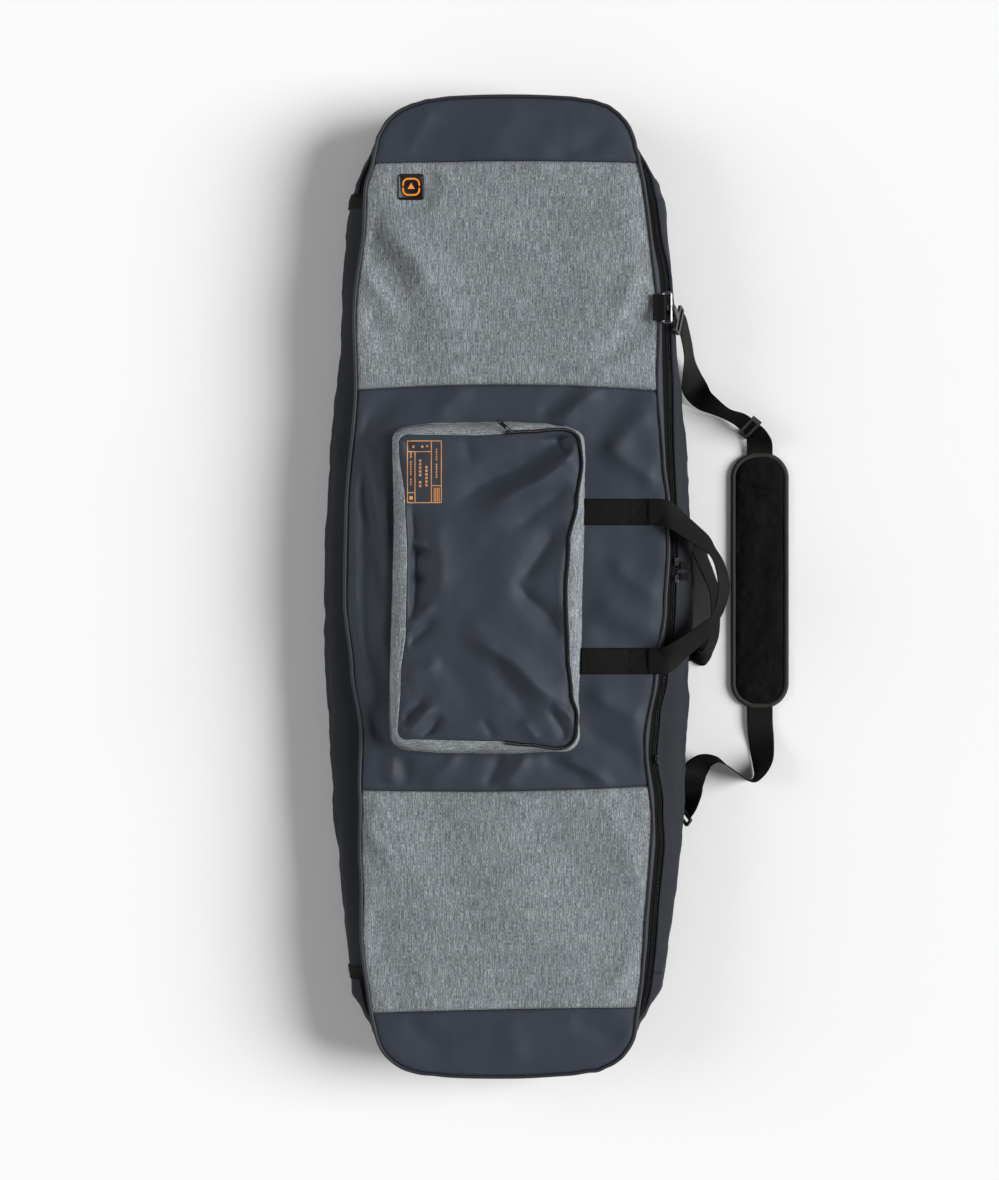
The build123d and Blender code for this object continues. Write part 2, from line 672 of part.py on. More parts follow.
UPPER_HOOK_WAY = (0.42, -0.55, -0.72)
LOWER_HOOK_WAY = (0.50, 0.75, 0.43)
UPPER_HOOK_SIDE = (0.22, 0.78, -0.58)
LOWER_HOOK_SIDE = (-0.49, 0.66, -0.57)
UPPER_BAR = Plane(origin=(UPPER_RING_X + RING_REACH, UPPER_RING_Y, UPPER_RING_Z))
LOWER_BAR = Plane(
    origin=(LOWER_RING_X + RING_REACH, LOWER_RING_Y, LOWER_RING_Z), x_dir=(1, 0, 0), z_dir=(0, 0, -1)
)
write(hook(UPPER_BAR, UPPER_HOOK_WAY, UPPER_HOOK_SIDE), "upper_strap_hook")
write(hook(LOWER_BAR, LOWER_HOOK_WAY, LOWER_HOOK_SIDE), "lower_strap_hook")


# ---- Shoulder strap ---------------------------------------------------------------------------
PAD_X, PAD_Y = 371.5, 9.0
PAD_WIDTH, PAD_LENGTH, PAD_THICK = 86.0, 378.0, 9.0
BINDING = 7.0


def sewn_to(bar, along, across):
    """The webbing's last two stations, in line with a hook and just short of its frame's far bar."""
    way = Vector(*along).normalized()
    return [(tuple(bar.origin + way * (HOOK_REACH + gap)), across) for gap in (9.2, 17.0)]


PAD_TOP = PAD_Y + PAD_LENGTH / 2 + 1.6
PAD_BOTTOM = PAD_Y - PAD_LENGTH / 2 - 1.6
upper_strap = [
    *sewn_to(UPPER_BAR, UPPER_HOOK_WAY, UPPER_HOOK_SIDE),
    ((263, 348, 45), (0.3, 0.7, -0.65)),
    ((266, 321, 30), (0.5, 0.6, -0.6)),
    ((272, 298, 18), (0.75, 0.6, -0.1)),
    ((284, 279, 15), (0.65, 0.55, 0.5)),
    ((302, 266, 18), (0.35, 0.45, 0.82)),
    ((322, 254, 19.4), (0.2, 0.3, 0.93)),
    ((343, 244.4, 20.4), (0.3, 0.4, 0.86)),
    ((355.5, 234.2, 19.9), (0.32, 0.42, 0.84)),
    ((367, 224.8, 19.4), (0.35, 0.45, 0.82)),
    ((370.5, 212, 11), (0.9, 0.25, 0.35)),
    ((371.5, PAD_TOP, 5.6), (1, 0, 0)),
]
write(ribbon(upper_strap, WEB, WEB_THICK), "strap_webbing_upper")

lower_strap = [
    ((371.5, PAD_BOTTOM, 5.6), (1, 0, 0)),
    ((372, -205, 5), (1, 0, 0)),
    ((374, -233, 7), (0.93, 0, 0.3)),
    ((375, -257, 13), (0.7, -0.2, 0.7)),
    ((370, -276, 18.5), (0.25, -0.15, 0.95)),
    ((356, -286, 19.6), (0, 0, 1)),
    ((324, -265, 19.6), (0, 0, 1)),
    ((307, -255, 18.7), (-0.2, 0.3, 0.93)),
    ((290, -257, 15), (-0.5, 0.5, 0.7)),
    ((277, -270, 12), (-0.8, 0.5, 0.25)),
    ((269, -288, 18), (-0.75, 0.5, -0.3)),
    ((266, -306, 26), (-0.6, 0.6, -0.45)),
    *reversed(sewn_to(LOWER_BAR, LOWER_HOOK_WAY, LOWER_HOOK_SIDE)),
]
write(ribbon(lower_strap, WEB, WEB_THICK), "strap_webbing_lower")


def pad_outline(inset):
    with BuildSketch() as outline:
        with Locations((PAD_X, PAD_Y)):
            RectangleRounded(PAD_WIDTH - 2 * inset, PAD_LENGTH - 2 * inset, PAD_WIDTH * 0.44 - inset)
    return outline.sketch


with BuildPart() as strap_pad:
    add(slab(pad_outline(BINDING + 0.2), 0.6, PAD_THICK - 0.6).part)
write(strap_pad, "strap_pad")
with BuildPart() as pad_binding:
    add(slab(pad_outline(0), 0.2, PAD_THICK - 2.0).part)
    add(slab(pad_outline(BINDING), 0, 20).part, mode=Mode.SUBTRACT)
write(pad_binding, "strap_pad_binding")

ADJUSTER = stations_to_planes(upper_strap)[9]
ADJUSTER_LENGTH = 16.0
with BuildPart() as adjuster:  # a frame that the webbing is threaded through, standing on its edge
    frame_wide = WEB + 9
    Box(frame_wide, 7.6, ADJUSTER_LENGTH)
    Box(WEB + 3, 5.2, ADJUSTER_LENGTH + 2, mode=Mode.SUBTRACT)
    Box(frame_wide - 4, 9, ADJUSTER_LENGTH - 8, mode=Mode.SUBTRACT)
place(adjuster, ADJUSTER)
write(adjuster, "strap_adjuster")
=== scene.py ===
"""Looks of a padded board bag: cloth, piping, zips, webbing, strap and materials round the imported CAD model."""

import json
import math

import bmesh
import bpy
import numpy as np
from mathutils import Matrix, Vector
from mathutils.bvhtree import BVHTree


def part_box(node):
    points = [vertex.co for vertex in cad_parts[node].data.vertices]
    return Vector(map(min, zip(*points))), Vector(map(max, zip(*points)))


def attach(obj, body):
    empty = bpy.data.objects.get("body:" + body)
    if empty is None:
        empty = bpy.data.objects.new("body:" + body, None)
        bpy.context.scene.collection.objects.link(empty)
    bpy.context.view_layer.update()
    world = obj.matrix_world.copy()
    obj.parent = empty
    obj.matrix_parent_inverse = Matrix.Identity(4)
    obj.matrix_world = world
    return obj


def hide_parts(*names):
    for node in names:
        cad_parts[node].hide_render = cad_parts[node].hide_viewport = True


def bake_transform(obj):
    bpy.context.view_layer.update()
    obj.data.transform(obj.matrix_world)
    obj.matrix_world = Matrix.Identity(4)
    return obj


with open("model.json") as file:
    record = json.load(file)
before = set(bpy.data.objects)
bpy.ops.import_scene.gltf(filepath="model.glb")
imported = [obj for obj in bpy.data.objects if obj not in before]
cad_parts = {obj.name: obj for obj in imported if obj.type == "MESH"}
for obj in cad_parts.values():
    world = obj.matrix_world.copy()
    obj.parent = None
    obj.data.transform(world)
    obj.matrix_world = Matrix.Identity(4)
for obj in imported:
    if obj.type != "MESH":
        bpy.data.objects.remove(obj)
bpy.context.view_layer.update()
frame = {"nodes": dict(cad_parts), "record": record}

MM = 0.001
TAU = 2 * math.pi


# ---- Places taken from the frame ---------------------------------------------------------------
def joint(name):
    """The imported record's joint of that name."""
    return next(j for j in frame["record"]["behaviour"]["joints"] if j["name"] == name)


def box(node):
    """The low and the high corner of a CAD node."""
    return [np.array(corner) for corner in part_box(node)]


HALF_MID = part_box("front_panel_centre")[1][0]
HALF_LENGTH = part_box("front_panel_top_end")[1][1]
SEAM_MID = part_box("front_panel_centre")[1][1]
SEAM_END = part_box("front_panel_upper")[1][1]
FRONT_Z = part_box("front_panel_centre")[1][2]
HALF_SHOULDER, SHOULDER_Y = 0.199, 0.560  # where the long sides' arcs end
HALF_CORNER, CORNER_Y = 0.189, 0.638  # where the corners start
HALF_END, END_RISE = 0.118, 0.005  # where the corners end, and how far the ends arch beyond that
RIM_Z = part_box("main_zip_tape_body")[1][2]
LINING_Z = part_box("back_lining")[1][2]
POCKET_LOW, POCKET_HIGH = box("pocket_gusset")
LID_LOW = box("pocket_front_fixed")[0]
LID_HIGH = box("pocket_front_flap")[1]
FOLD_X = joint("pocket_flap_hinge")["pos_m"][0]
WEB = 0.038  # the webbing's width
WELD_DISTANCE = 0.00002
CLOTH, LIGHT_CLOTH, LINING = 0.0016, 0.0012, 0.0009


# ---- Small mathematics -------------------------------------------------------------------------
def smooth(x, low, high):
    """0 below low, 1 above high, and a smooth step between."""
    t = np.clip((np.asarray(x, float) - low) / (high - low), 0, 1)
    return t * t * (3 - 2 * t)


def ease(value, pairs):
    """A smooth curve through (place, value) pairs."""
    places, values = np.array(pairs, float).T
    value = np.asarray(value, float)
    i = np.clip(np.searchsorted(places, value) - 1, 0, len(places) - 2)
    t = np.clip((value - places[i]) / (places[i + 1] - places[i]), 0, 1)
    t = t * t * (3 - 2 * t)
    return values[i] * (1 - t) + values[i + 1] * t


def lattice(ix, iy, seed):
    """A repeatable value from -1 to 1 for each cell of a grid."""
    mixed = np.sin(ix * 127.1 + iy * 311.7 + seed * 74.7) * 43758.5453
    return 2 * (mixed - np.floor(mixed)) - 1


def waves(x, y, size, seed=0, octaves=3, gain=0.5):
    """Smooth noise of about that wavelength, from -1 to 1."""
    x, y = np.asarray(x, float), np.asarray(y, float)
    total, amount, reach = np.zeros(np.broadcast(x, y).shape), 1.0, 0.0
    for octave in range(octaves):
        u, v = x / size * 2**octave, y / size * 2**octave
        iu, iv = np.floor(u), np.floor(v)
        fu, fv = u - iu, v - iv
        fu, fv = fu**3 * (fu * (fu * 6 - 15) + 10), fv**3 * (fv * (fv * 6 - 15) + 10)
        corners = [lattice(iu + a, iv + b, seed + octave * 13) for a in (0, 1) for b in (0, 1)]
        low = corners[0] * (1 - fv) + corners[1] * fv
        high = corners[2] * (1 - fv) + corners[3] * fv
        total += amount * (low * (1 - fu) + high * fu)
        reach += amount
        amount *= gain
    return total / reach * 1.5


def fold(x, y, start, end, width, height):
    """A soft ridge (or, with a negative height, a valley) along a line, fading at its ends."""
    (x0, y0), (x1, y1) = start, end
    length = math.hypot(x1 - x0, y1 - y0)
    along = ((x - x0) * (x1 - x0) + (y - y0) * (y1 - y0)) / length
    across = (-(x - x0) * (y1 - y0) + (y - y0) * (x1 - x0)) / length
    across = across + 0.15 * width * np.sin(along / width * 0.9)
    fade = smooth(along, -0.15 * length, 0.25 * length) * (1 - smooth(along, 0.7 * length, 1.15 * length))
    return height * fade * np.exp(-((across**2 / width**2 + 0.02) ** 0.8))


def fold_sum(x, y, folds, gain=1.0):
    """The height added by a table of folds: (start, end, half width, height), in millimetres."""
    total = 0
    for start, end, width, height in folds:
        total = total + fold(x, y, np.array(start) * MM, np.array(end) * MM, width * MM, gain * height * MM)
    return total


def cubic(before, here, following, after, t):
    """A smooth curve through four values, at a part t of the way from here to following."""
    return 0.5 * (
        2 * here + (following - before) * t + (2 * before - 5 * here + 4 * following - after) * t**2
        + (3 * here - before - 3 * following + after) * t**3
    )


def catmull(points, per_span):
    """A smooth curve through given points."""
    points = np.asarray(points, float)
    padded = np.concatenate([[2 * points[0] - points[1]], points, [2 * points[-1] - points[-2]]])
    t = np.linspace(0, 1, per_span, endpoint=False)[:, None]
    spans = [cubic(*padded[i - 1 : i + 3], t) for i in range(1, len(padded) - 2)]
    return np.concatenate([*spans, points[-1:]])


def run_length(path):
    """How far along a path each of its points lies."""
    return np.concatenate([[0], np.cumsum(np.linalg.norm(np.diff(path, axis=0), axis=1))])


def along_path(path, lengths, places):
    """The points of a path at the given places, which are measured as its lengths are."""
    return np.stack([np.interp(places, lengths, column) for column in path.T], -1)


def at_height(flat, z):
    """Plan points raised to a height, or to a height for each."""
    return np.column_stack([flat, np.broadcast_to(z, len(flat))])


def outward(points):
    """The outward normal at each point of a closed line that runs anticlockwise."""
    tangent = np.roll(points, -1, 0) - np.roll(points, 1, 0)
    normal = np.stack([tangent[:, 1], -tangent[:, 0]], 1)
    return normal / np.maximum(np.hypot(*normal.T), 1e-9)[:, None]


def from_gap(places):
    """Places round a closed line, starting after the gap in them."""
    first = int(np.argmax(np.diff(places) > 1)) + 1
    return np.concatenate([places[first:], places[:first]])


# ---- The bag's outline --------------------------------------------------------------------------
def three_point_arc(a, b, c, count):
    """Points on the circle from a through b to c."""
    a, b, c = (complex(*p) for p in (a, b, c))
    w = (c - a) / (b - a)
    centre = a - (a - b) * (w - abs(w) ** 2) / 2j / w.imag
    start, middle, end = (math.atan2((p - centre).imag, (p - centre).real) for p in (a, b, c))
    turn = (end - start) % TAU
    if (middle - start) % TAU > turn:
        turn -= TAU
    angles = start + turn * np.linspace(0, 1, count, endpoint=False)
    radius = abs(a - centre)
    return np.stack([centre.real + radius * np.cos(angles), centre.imag + radius * np.sin(angles)], 1)


def half_outline():
    """The right half of the outline, from the middle of the bottom end to the middle of the top end."""
    end_y = HALF_LENGTH - END_RISE
    rise = (end_y - CORNER_Y) * 0.74
    middle = (HALF_CORNER - 0.019, CORNER_Y + rise)
    stretches = [
        three_point_arc((HALF_SHOULDER, -SHOULDER_Y), (HALF_MID, 0), (HALF_SHOULDER, SHOULDER_Y), 240),
        np.linspace((HALF_SHOULDER, SHOULDER_Y), (HALF_CORNER, CORNER_Y), 30, endpoint=False),
        three_point_arc((HALF_CORNER, CORNER_Y), middle, (HALF_END, end_y), 60),
        three_point_arc((HALF_END, end_y), (HALF_END / 2, end_y + END_RISE * 0.75), (0, HALF_LENGTH), 30),
    ]
    side = np.concatenate(stretches[1:])
    lower = side[::-1] * (1, -1)
    return np.concatenate([[(0, -HALF_LENGTH)], lower, stretches[0], side])


def closed_outline(count):
    """Even points round the outline, anticlockwise from the bottom end's middle, with normals and places."""
    right = half_outline()
    loop = np.concatenate([right, right[::-1] * (-1, 1)])
    loop = np.concatenate([loop, loop[:1]])
    loop = loop[np.concatenate([[True], np.hypot(*np.diff(loop, axis=0).T) > 1e-7])]
    length = run_length(loop)
    places = np.linspace(0, length[-1], count, endpoint=False)
    points = along_path(loop, length, places)
    for _ in range(6):
        points = (np.roll(points, 1, 0) + 2 * points + np.roll(points, -1, 0)) / 4
    return points, outward(points), places, length[-1]


AROUND = 900
EDGE, EDGE_OUT, EDGE_S, EDGE_LENGTH = closed_outline(AROUND)
RIGHTNESS = np.clip(EDGE_OUT[:, 0], 0, 1) ** 2
LEFTNESS = np.clip(-EDGE_OUT[:, 0], 0, 1) ** 2
ENDNESS = 1 - RIGHTNESS - LEFTNESS

# How the soft bag departs from its pattern: (place along that side or end in metres, millimetres outwards).
# The rows for the ends and corners are distances worked out by a scratch program, to the nearest half millimetre.
SWAY_RIGHT = [
    (-0.70, -5), (-0.67, -6.5), (-0.65, -6), (-0.58, -5.5), (-0.53, -7), (-0.48, -9), (-0.36, -10),
    (-0.22, -28), (-0.13, -17), (-0.03, -5), (0.06, 0), (0.12, 1), (0.18, -4), (0.28, -7), (0.40, 2),
    (0.51, 0), (0.58, -1), (0.62, -4), (0.64, -6.5), (0.66, -8), (0.70, -6),
]
SWAY_LEFT = [
    (-0.70, 2), (-0.66, 2.5), (-0.60, 6.5), (-0.53, 8), (-0.41, -1), (-0.30, -8), (-0.21, -14), (-0.12, -4),
    (-0.02, 5), (0.11, 4), (0.27, -3), (0.42, 8), (0.51, 4.5), (0.58, 9), (0.615, 3), (0.645, 1),
    (0.665, -2), (0.70, -3),
]
SWAY_TOP = [
    (-0.20, -1), (-0.17, -3), (-0.15, -2.5), (-0.135, -0.5), (-0.115, 4.5), (-0.085, 6.5), (0.09, 6.5),
    (0.115, 4.5), (0.14, -1), (0.16, -5), (0.17, -7.5), (0.20, -8),
]
SWAY_BOTTOM = [
    (-0.20, 2.5), (-0.165, 2), (-0.145, 3), (-0.115, 6.5), (-0.085, 7.5), (0, 6.5), (0.09, 5), (0.125, 2),
    (0.145, -3), (0.165, -5), (0.175, -6.5), (0.20, -6),
]
SWAY_ZIP = [
    (-0.70, -5), (-0.67, -6.5), (-0.63, -6.5), (-0.60, -6), (-0.58, -4), (-0.53, -4), (-0.45, -6),
    (-0.38, -5), (-0.32, -11), (-0.24, -24), (-0.19, -22), (-0.13, -13), (-0.08, -5), (-0.02, -3),
    (0.05, 0), (0.20, -2), (0.32, 2), (0.45, 8), (0.51, 2), (0.55, 1.5), (0.58, -1.5), (0.61, -6),
    (0.66, -8), (0.70, -6),
]
SWAY_ZIP_LEFT = [
    (-0.70, 2), (-0.66, 2.5), (-0.60, 6.5), (-0.565, 8), (0.565, 10), (0.58, 9.5), (0.615, 3), (0.645, 1),
    (0.665, -2), (0.70, -3),
]
BULGE_RIGHT = [
    (-0.70, -3), (-0.66, -4), (-0.64, 1), (-0.62, 10), (-0.58, 28), (-0.55, 29), (-0.41, 34), (-0.29, 36),
    (-0.21, 32), (-0.13, 36), (-0.03, 39), (0.07, 38), (0.18, 28), (0.27, 26), (0.45, 27), (0.55, 30),
    (0.58, 25), (0.62, 2.5), (0.65, -5), (0.70, -5),
]
BULGE_LEFT = [
    (-0.70, 4), (-0.66, 5), (-0.64, 10.5), (-0.62, 19), (-0.59, 33), (-0.56, 31), (-0.51, 31), (-0.19, 35),
    (0.01, 37), (0.20, 31), (0.34, 25), (0.475, 30.5), (0.555, 31), (0.58, 25), (0.60, 19), (0.635, 8),
    (0.65, 2.5), (0.70, -1),
]


def by_side(right, left):
    """A value for each point of the outline from tables for the right and the left side."""
    y = EDGE[:, 1]
    return (RIGHTNESS * ease(y, right) + LEFTNESS * ease(y, left)) * MM


END_SWAY = ENDNESS * np.where(EDGE[:, 1] > 0, ease(EDGE[:, 0], SWAY_TOP), ease(EDGE[:, 0], SWAY_BOTTOM)) * MM
EDGE_SWAY = by_side(SWAY_RIGHT, SWAY_LEFT) + END_SWAY
BACK_SWAY = np.minimum(EDGE_SWAY, 0) * smooth(np.abs(EDGE[:, 1]), 0.58, 0.65)
TUCKED = np.maximum(ENDNESS, smooth(np.abs(EDGE[:, 1]), 0.595, 0.65))
BULGE = by_side(BULGE_RIGHT, BULGE_LEFT) + END_SWAY + 0.0018 * ENDNESS
ZIP_LINE = 0.0044 - 0.0034 * TUCKED + 0.0060 * np.clip(EDGE_OUT[:, 0], 0, 1) ** 1.5 * (1 - TUCKED)
ZIP_LINE += by_side(SWAY_ZIP, SWAY_ZIP_LEFT) + END_SWAY
ZIP_FIRST_Y = 0.566  # the zip ends on the left side, under the tabs
ON_ZIP = ~((EDGE[:, 0] < 0) & (np.abs(EDGE[:, 1]) < ZIP_FIRST_Y))


def ring_points(offset, z):
    """Points round the outline, moved outwards by offset, at height z."""
    return at_height(EDGE + EDGE_OUT * np.broadcast_to(offset, AROUND)[:, None], z)


def half_width(y):
    """Half the panels' width at each place along the long sides, before sway."""
    y = np.abs(y)
    sagitta = HALF_MID - HALF_SHOULDER
    radius = (SHOULDER_Y**2 + sagitta**2) / (2 * sagitta)
    arc = HALF_MID - radius + np.sqrt(np.maximum(radius**2 - y**2, 0))
    taper = HALF_SHOULDER + (HALF_CORNER - HALF_SHOULDER) * (y - SHOULDER_Y) / (CORNER_Y - SHOULDER_Y)
    return np.where(y < SHOULDER_Y, arc, taper)


def distance_to(curve, x, y):
    """How far each point lies from a line of closely spaced points."""
    flat = np.stack([np.ravel(x), np.ravel(y)], 1)
    nearest = np.empty(len(flat))
    for first in range(0, len(flat), 4000):
        block = flat[first : first + 4000, None, :] - curve[None, :, :2]
        nearest[first : first + 4000] = np.sqrt((block**2).sum(2).min(1))
    return nearest.reshape(np.shape(x))


# ---- Mesh makers --------------------------------------------------------------------------------
def in_scene(name, data):
    """A new object in the scene."""
    made = bpy.data.objects.new(name, data)
    bpy.context.scene.collection.objects.link(made)
    return made


def new_object(name, points, faces, uvs):
    """A mesh object from points and faces, with its cloth coordinates in metres in a UV map."""
    mesh = bpy.data.meshes.new(name)
    mesh.from_pydata([tuple(p) for p in np.asarray(points, float)], [], [tuple(map(int, f)) for f in faces])
    layer = mesh.uv_layers.new(name="cloth")
    loops = np.empty(len(mesh.loops), int)
    mesh.loops.foreach_get("vertex_index", loops)
    layer.data.foreach_set("uv", np.asarray(uvs, float)[loops].ravel())
    mesh.shade_smooth()
    return in_scene(name, mesh)


def grid_faces(rows, columns, closed_rows=False, closed_columns=False, start=0):
    """The quads between points stored row by row."""
    r = np.arange(rows if closed_rows else rows - 1)
    c = np.arange(columns if closed_columns else columns - 1)
    r, c = (a.ravel() for a in np.meshgrid(r, c, indexing="ij"))
    r1, c1 = (r + 1) % rows, (c + 1) % columns
    return start + np.stack([r * columns + c, r * columns + c1, r1 * columns + c1, r1 * columns + c], 1)


def cloth_map(u, v):
    """Cloth coordinates for a grid, from a row and a column of numbers."""
    return np.stack(np.broadcast_arrays(u, v), 2)


def capped(rows, columns, start=0):
    """The faces of a closed form whose rows are rings of points: its sides and its two ends."""
    sides = [tuple(face) for face in grid_faces(rows, columns, closed_columns=True, start=start)]
    last = start + (rows - 1) * columns
    return [*sides, tuple(range(start, start + columns))[::-1], tuple(range(last, last + columns))]


def grid_object(name, grid, uv, closed_rows=False, closed_columns=False):
    """A surface through rows of points."""
    grid = np.asarray(grid)
    faces = grid_faces(*grid.shape[:2], closed_rows, closed_columns)
    return new_object(name, grid.reshape(-1, 3), faces, uv.reshape(-1, 2))


def face_up(piece):
    """Turns a sheet so that its outer face looks up."""
    if sum(f.normal.z * f.area for f in piece.data.polygons) < 0:
        piece.data.flip_normals()
    return piece


def reshape(piece, change):
    """Passes a piece's mesh through a bmesh change."""
    form = bmesh.new()
    form.from_mesh(piece.data)
    change(form)
    form.to_mesh(piece.data)
    form.free()
    return piece


def face_out(piece):
    """Turns a closed form's faces outwards."""
    return reshape(piece, lambda form: bmesh.ops.recalc_face_normals(form, faces=form.faces))


def weld(piece):
    """Merges points that lie together, so that a folded-in grid becomes one smooth sheet."""
    return reshape(piece, lambda form: bmesh.ops.remove_doubles(form, verts=form.verts, dist=WELD_DISTANCE))


def thicken(piece, thickness, inner=None, offset=-1.0):
    """Gives a sheet its thickness; inner is the material slot of its inner side."""
    solid = piece.modifiers.new("thickness", "SOLIDIFY")
    solid.thickness = thickness
    solid.offset = offset
    if inner is not None:
        solid.material_offset = inner
        solid.material_offset_rim = 0
    depsgraph = bpy.context.evaluated_depsgraph_get()
    mesh = bpy.data.meshes.new_from_object(piece.evaluated_get(depsgraph), depsgraph=depsgraph)
    piece.modifiers.clear()
    piece.data = mesh
    return piece


def frames_along(path, wide):
    """Unit vectors across a strap (near the given direction) and out of it, at each point of its path."""
    along = np.gradient(path, axis=0)
    along /= np.linalg.norm(along, axis=1)[:, None]
    across = wide - along * (wide * along).sum(1)[:, None]
    across /= np.linalg.norm(across, axis=1)[:, None]
    return across, np.cross(along, across)


def strap_object(name, stations, width=WEB, thickness=0.0018, per_span=14, cup=0.0, floor=None):
    """Flat webbing through stations of (point, direction across), lifted where it would dip below a floor."""
    path = catmull([p for p, _ in stations], per_span)
    wide = catmull([w for _, w in stations], per_span)
    across, out = frames_along(path, wide)
    half, thick = width / 2, thickness / 2
    top = [(s * (half - thick), thick) for s in np.linspace(-1, 1, 13)]
    edge = [(half - thick * 0.3, thick * 0.7), (half, 0), (half - thick * 0.3, -thick * 0.7)]
    profile = np.array(top + edge)
    profile = np.concatenate([profile, -profile])
    bow = cup * (1 - (profile[:, 0] / half) ** 2)
    grid = (
        path[:, None]
        + across[:, None] * profile[None, :, :1]
        + out[:, None] * (profile[:, 1] + bow)[None, :, None]
    )
    if floor is not None:
        lift = np.maximum(floor - grid[..., 2].min(1), 0)
        for _ in range(30):
            lift[1:-1] = np.maximum(lift[1:-1], 0.25 * lift[:-2] + 0.5 * lift[1:-1] + 0.25 * lift[2:])
        steps = np.arange(len(path))
        lift *= smooth(np.minimum(steps, steps[::-1]), 3, 15)
        grid[..., 2] += lift[:, None]
    uv = cloth_map(profile[:, 0][None], run_length(path)[:, None])
    return face_out(new_object(name, grid.reshape(-1, 3), capped(*grid.shape[:2]), uv.reshape(-1, 2)))


def ring_tube(name, path, radius, sides=12):
    """A round cord or wire along a closed path, with cloth coordinates round and along it."""
    along = np.roll(path, -1, 0) - np.roll(path, 1, 0)
    along /= np.linalg.norm(along, axis=1)[:, None]
    out = np.cross(along, (0, 0, 1.0))
    out /= np.maximum(np.linalg.norm(out, axis=1), 1e-9)[:, None]
    up = np.cross(out, along)
    angle = TAU * np.arange(sides) / sides
    grid = path[:, None] + radius * (
        out[:, None] * np.cos(angle)[None, :, None] + up[:, None] * np.sin(angle)[None, :, None]
    )
    uv = cloth_map((angle * 0.003)[None], run_length(path)[:, None])
    return face_out(grid_object(name, grid, uv, closed_rows=True, closed_columns=True))


def join(name, pieces):
    """Joins pieces into one object."""
    whole = bmesh.new()
    for piece in pieces:
        whole.from_mesh(piece.data)
    mesh = bpy.data.meshes.new(name)
    whole.to_mesh(mesh)
    whole.free()
    for piece in pieces:
        bpy.data.objects.remove(piece)
    mesh.shade_smooth()
    return in_scene(name, mesh)


STITCH_RINGS = ((-1.0, 0.35, -0.7), (-0.6, 1.0, 0.2), (0.0, 1.0, 0.5), (0.6, 1.0, 0.2), (1.0, 0.35, -0.7))


def stitches(name, path, pitch, length, radius):
    """A row of sewn stitches along a path: short capsules, each dipping at its ends."""
    s = run_length(path)
    points, faces = [], []
    for k in range(max(1, int(s[-1] / pitch))):
        middle = (k + 0.5) * pitch
        ends = [along_path(path, s, middle + half * length / 2) for half in (-1, 1)]
        along = ends[1] - ends[0]
        along /= max(np.linalg.norm(along), 1e-9)
        side = np.cross(along, (0, 0, 1.0))
        side /= max(np.linalg.norm(side), 1e-9)
        up = np.cross(side, along)
        faces += capped(len(STITCH_RINGS), 5, len(points))
        for place, size, height in STITCH_RINGS:
            centre = (ends[0] + ends[1]) / 2 + along * place * length / 2 + up * (0.0002 + height * radius)
            for a in TAU * np.arange(5) / 5:
                points.append(centre + radius * size * (side * math.cos(a) + up * math.sin(a)))
    return face_out(new_object(name, points, faces, np.zeros((len(points), 2))))


def surface_of(*pieces):
    """Search trees for laying things on finished surfaces."""
    return [BVHTree.FromPolygons([v.co for v in p.data.vertices], [list(f.vertices) for f in p.data.polygons])
            for p in pieces]


def lay_on(trees, points, gap=0.0, default=FRONT_Z):
    """Drops points onto the highest surface below them, and lifts them by gap."""
    laid = np.array(points, float)
    for row in laid:
        hits = [t.ray_cast(Vector((row[0], row[1], 1.0)), Vector((0, 0, -1)))[0] for t in trees]
        heights = [h.z for h in hits if h is not None]
        row[2] = (max(heights) if heights else default) + gap
    return laid


# ---- Materials ----------------------------------------------------------------------------------
class Paint:
    """A small helper that adds shader nodes to one material."""

    def __init__(self, name):
        self.material = bpy.data.materials.new(name)
        self.material.use_nodes = True
        self.tree = self.material.node_tree
        self.shader = self.tree.nodes["Principled BSDF"]

    def plug(self, socket, value):
        if isinstance(value, bpy.types.NodeSocket):
            self.tree.links.new(value, socket)
        else:
            socket.default_value = value

    def add(self, kind, inputs):
        made = self.tree.nodes.new("ShaderNode" + kind)
        for key, value in inputs.items():
            self.plug(made.inputs[key], value)
        return made

    def math(self, operation, *values):
        made = self.add("Math", dict(enumerate(values)))
        made.operation = operation
        return made.outputs[0]

    def cloth(self):
        """Cloth coordinates, in metres."""
        made = self.add("UVMap", {})
        made.uv_map = "cloth"
        return made.outputs["UV"]

    def stretch(self, vector, scale):
        return self.add("Mapping", {"Vector": vector, "Scale": scale}).outputs["Vector"]

    def noise(self, vector, scale, detail, roughness):
        made = self.add(
            "TexNoise", {"Vector": vector, "Scale": scale, "Detail": detail, "Roughness": roughness}
        )
        return made.outputs["Fac"]

    def wave(self, vector, scale, direction, distortion=0.0):
        made = self.add("TexWave", {"Vector": vector, "Scale": scale, "Distortion": distortion})
        made.bands_direction = direction
        return made.outputs["Fac"]

    def ramp(self, value, stops):
        made = self.add("ValToRGB", {"Fac": value})
        elements = made.color_ramp.elements
        while len(elements) < len(stops):
            elements.new(0.5)
        for element, (place, colour) in zip(elements, stops):
            element.position = place
            element.color = (*colour, 1)
        return made.outputs["Color"]

    def bump(self, height, strength, distance):
        made = self.add("Bump", {"Strength": strength, "Distance": distance, "Height": height})
        self.plug(self.shader.inputs["Normal"], made.outputs["Normal"])

    def finish(self, colour, **values):
        self.plug(self.shader.inputs["Base Color"], colour)
        for key, value in values.items():
            self.plug(self.shader.inputs[key.replace("_", " ")], value)
        return self.material


WAVE_BANDS = 20 / TAU  # a wave texture of scale 1 repeats every TAU/20


def shade(colour, factor):
    """A colour made lighter or darker."""
    return tuple(min(1.0, c * factor) for c in colour)


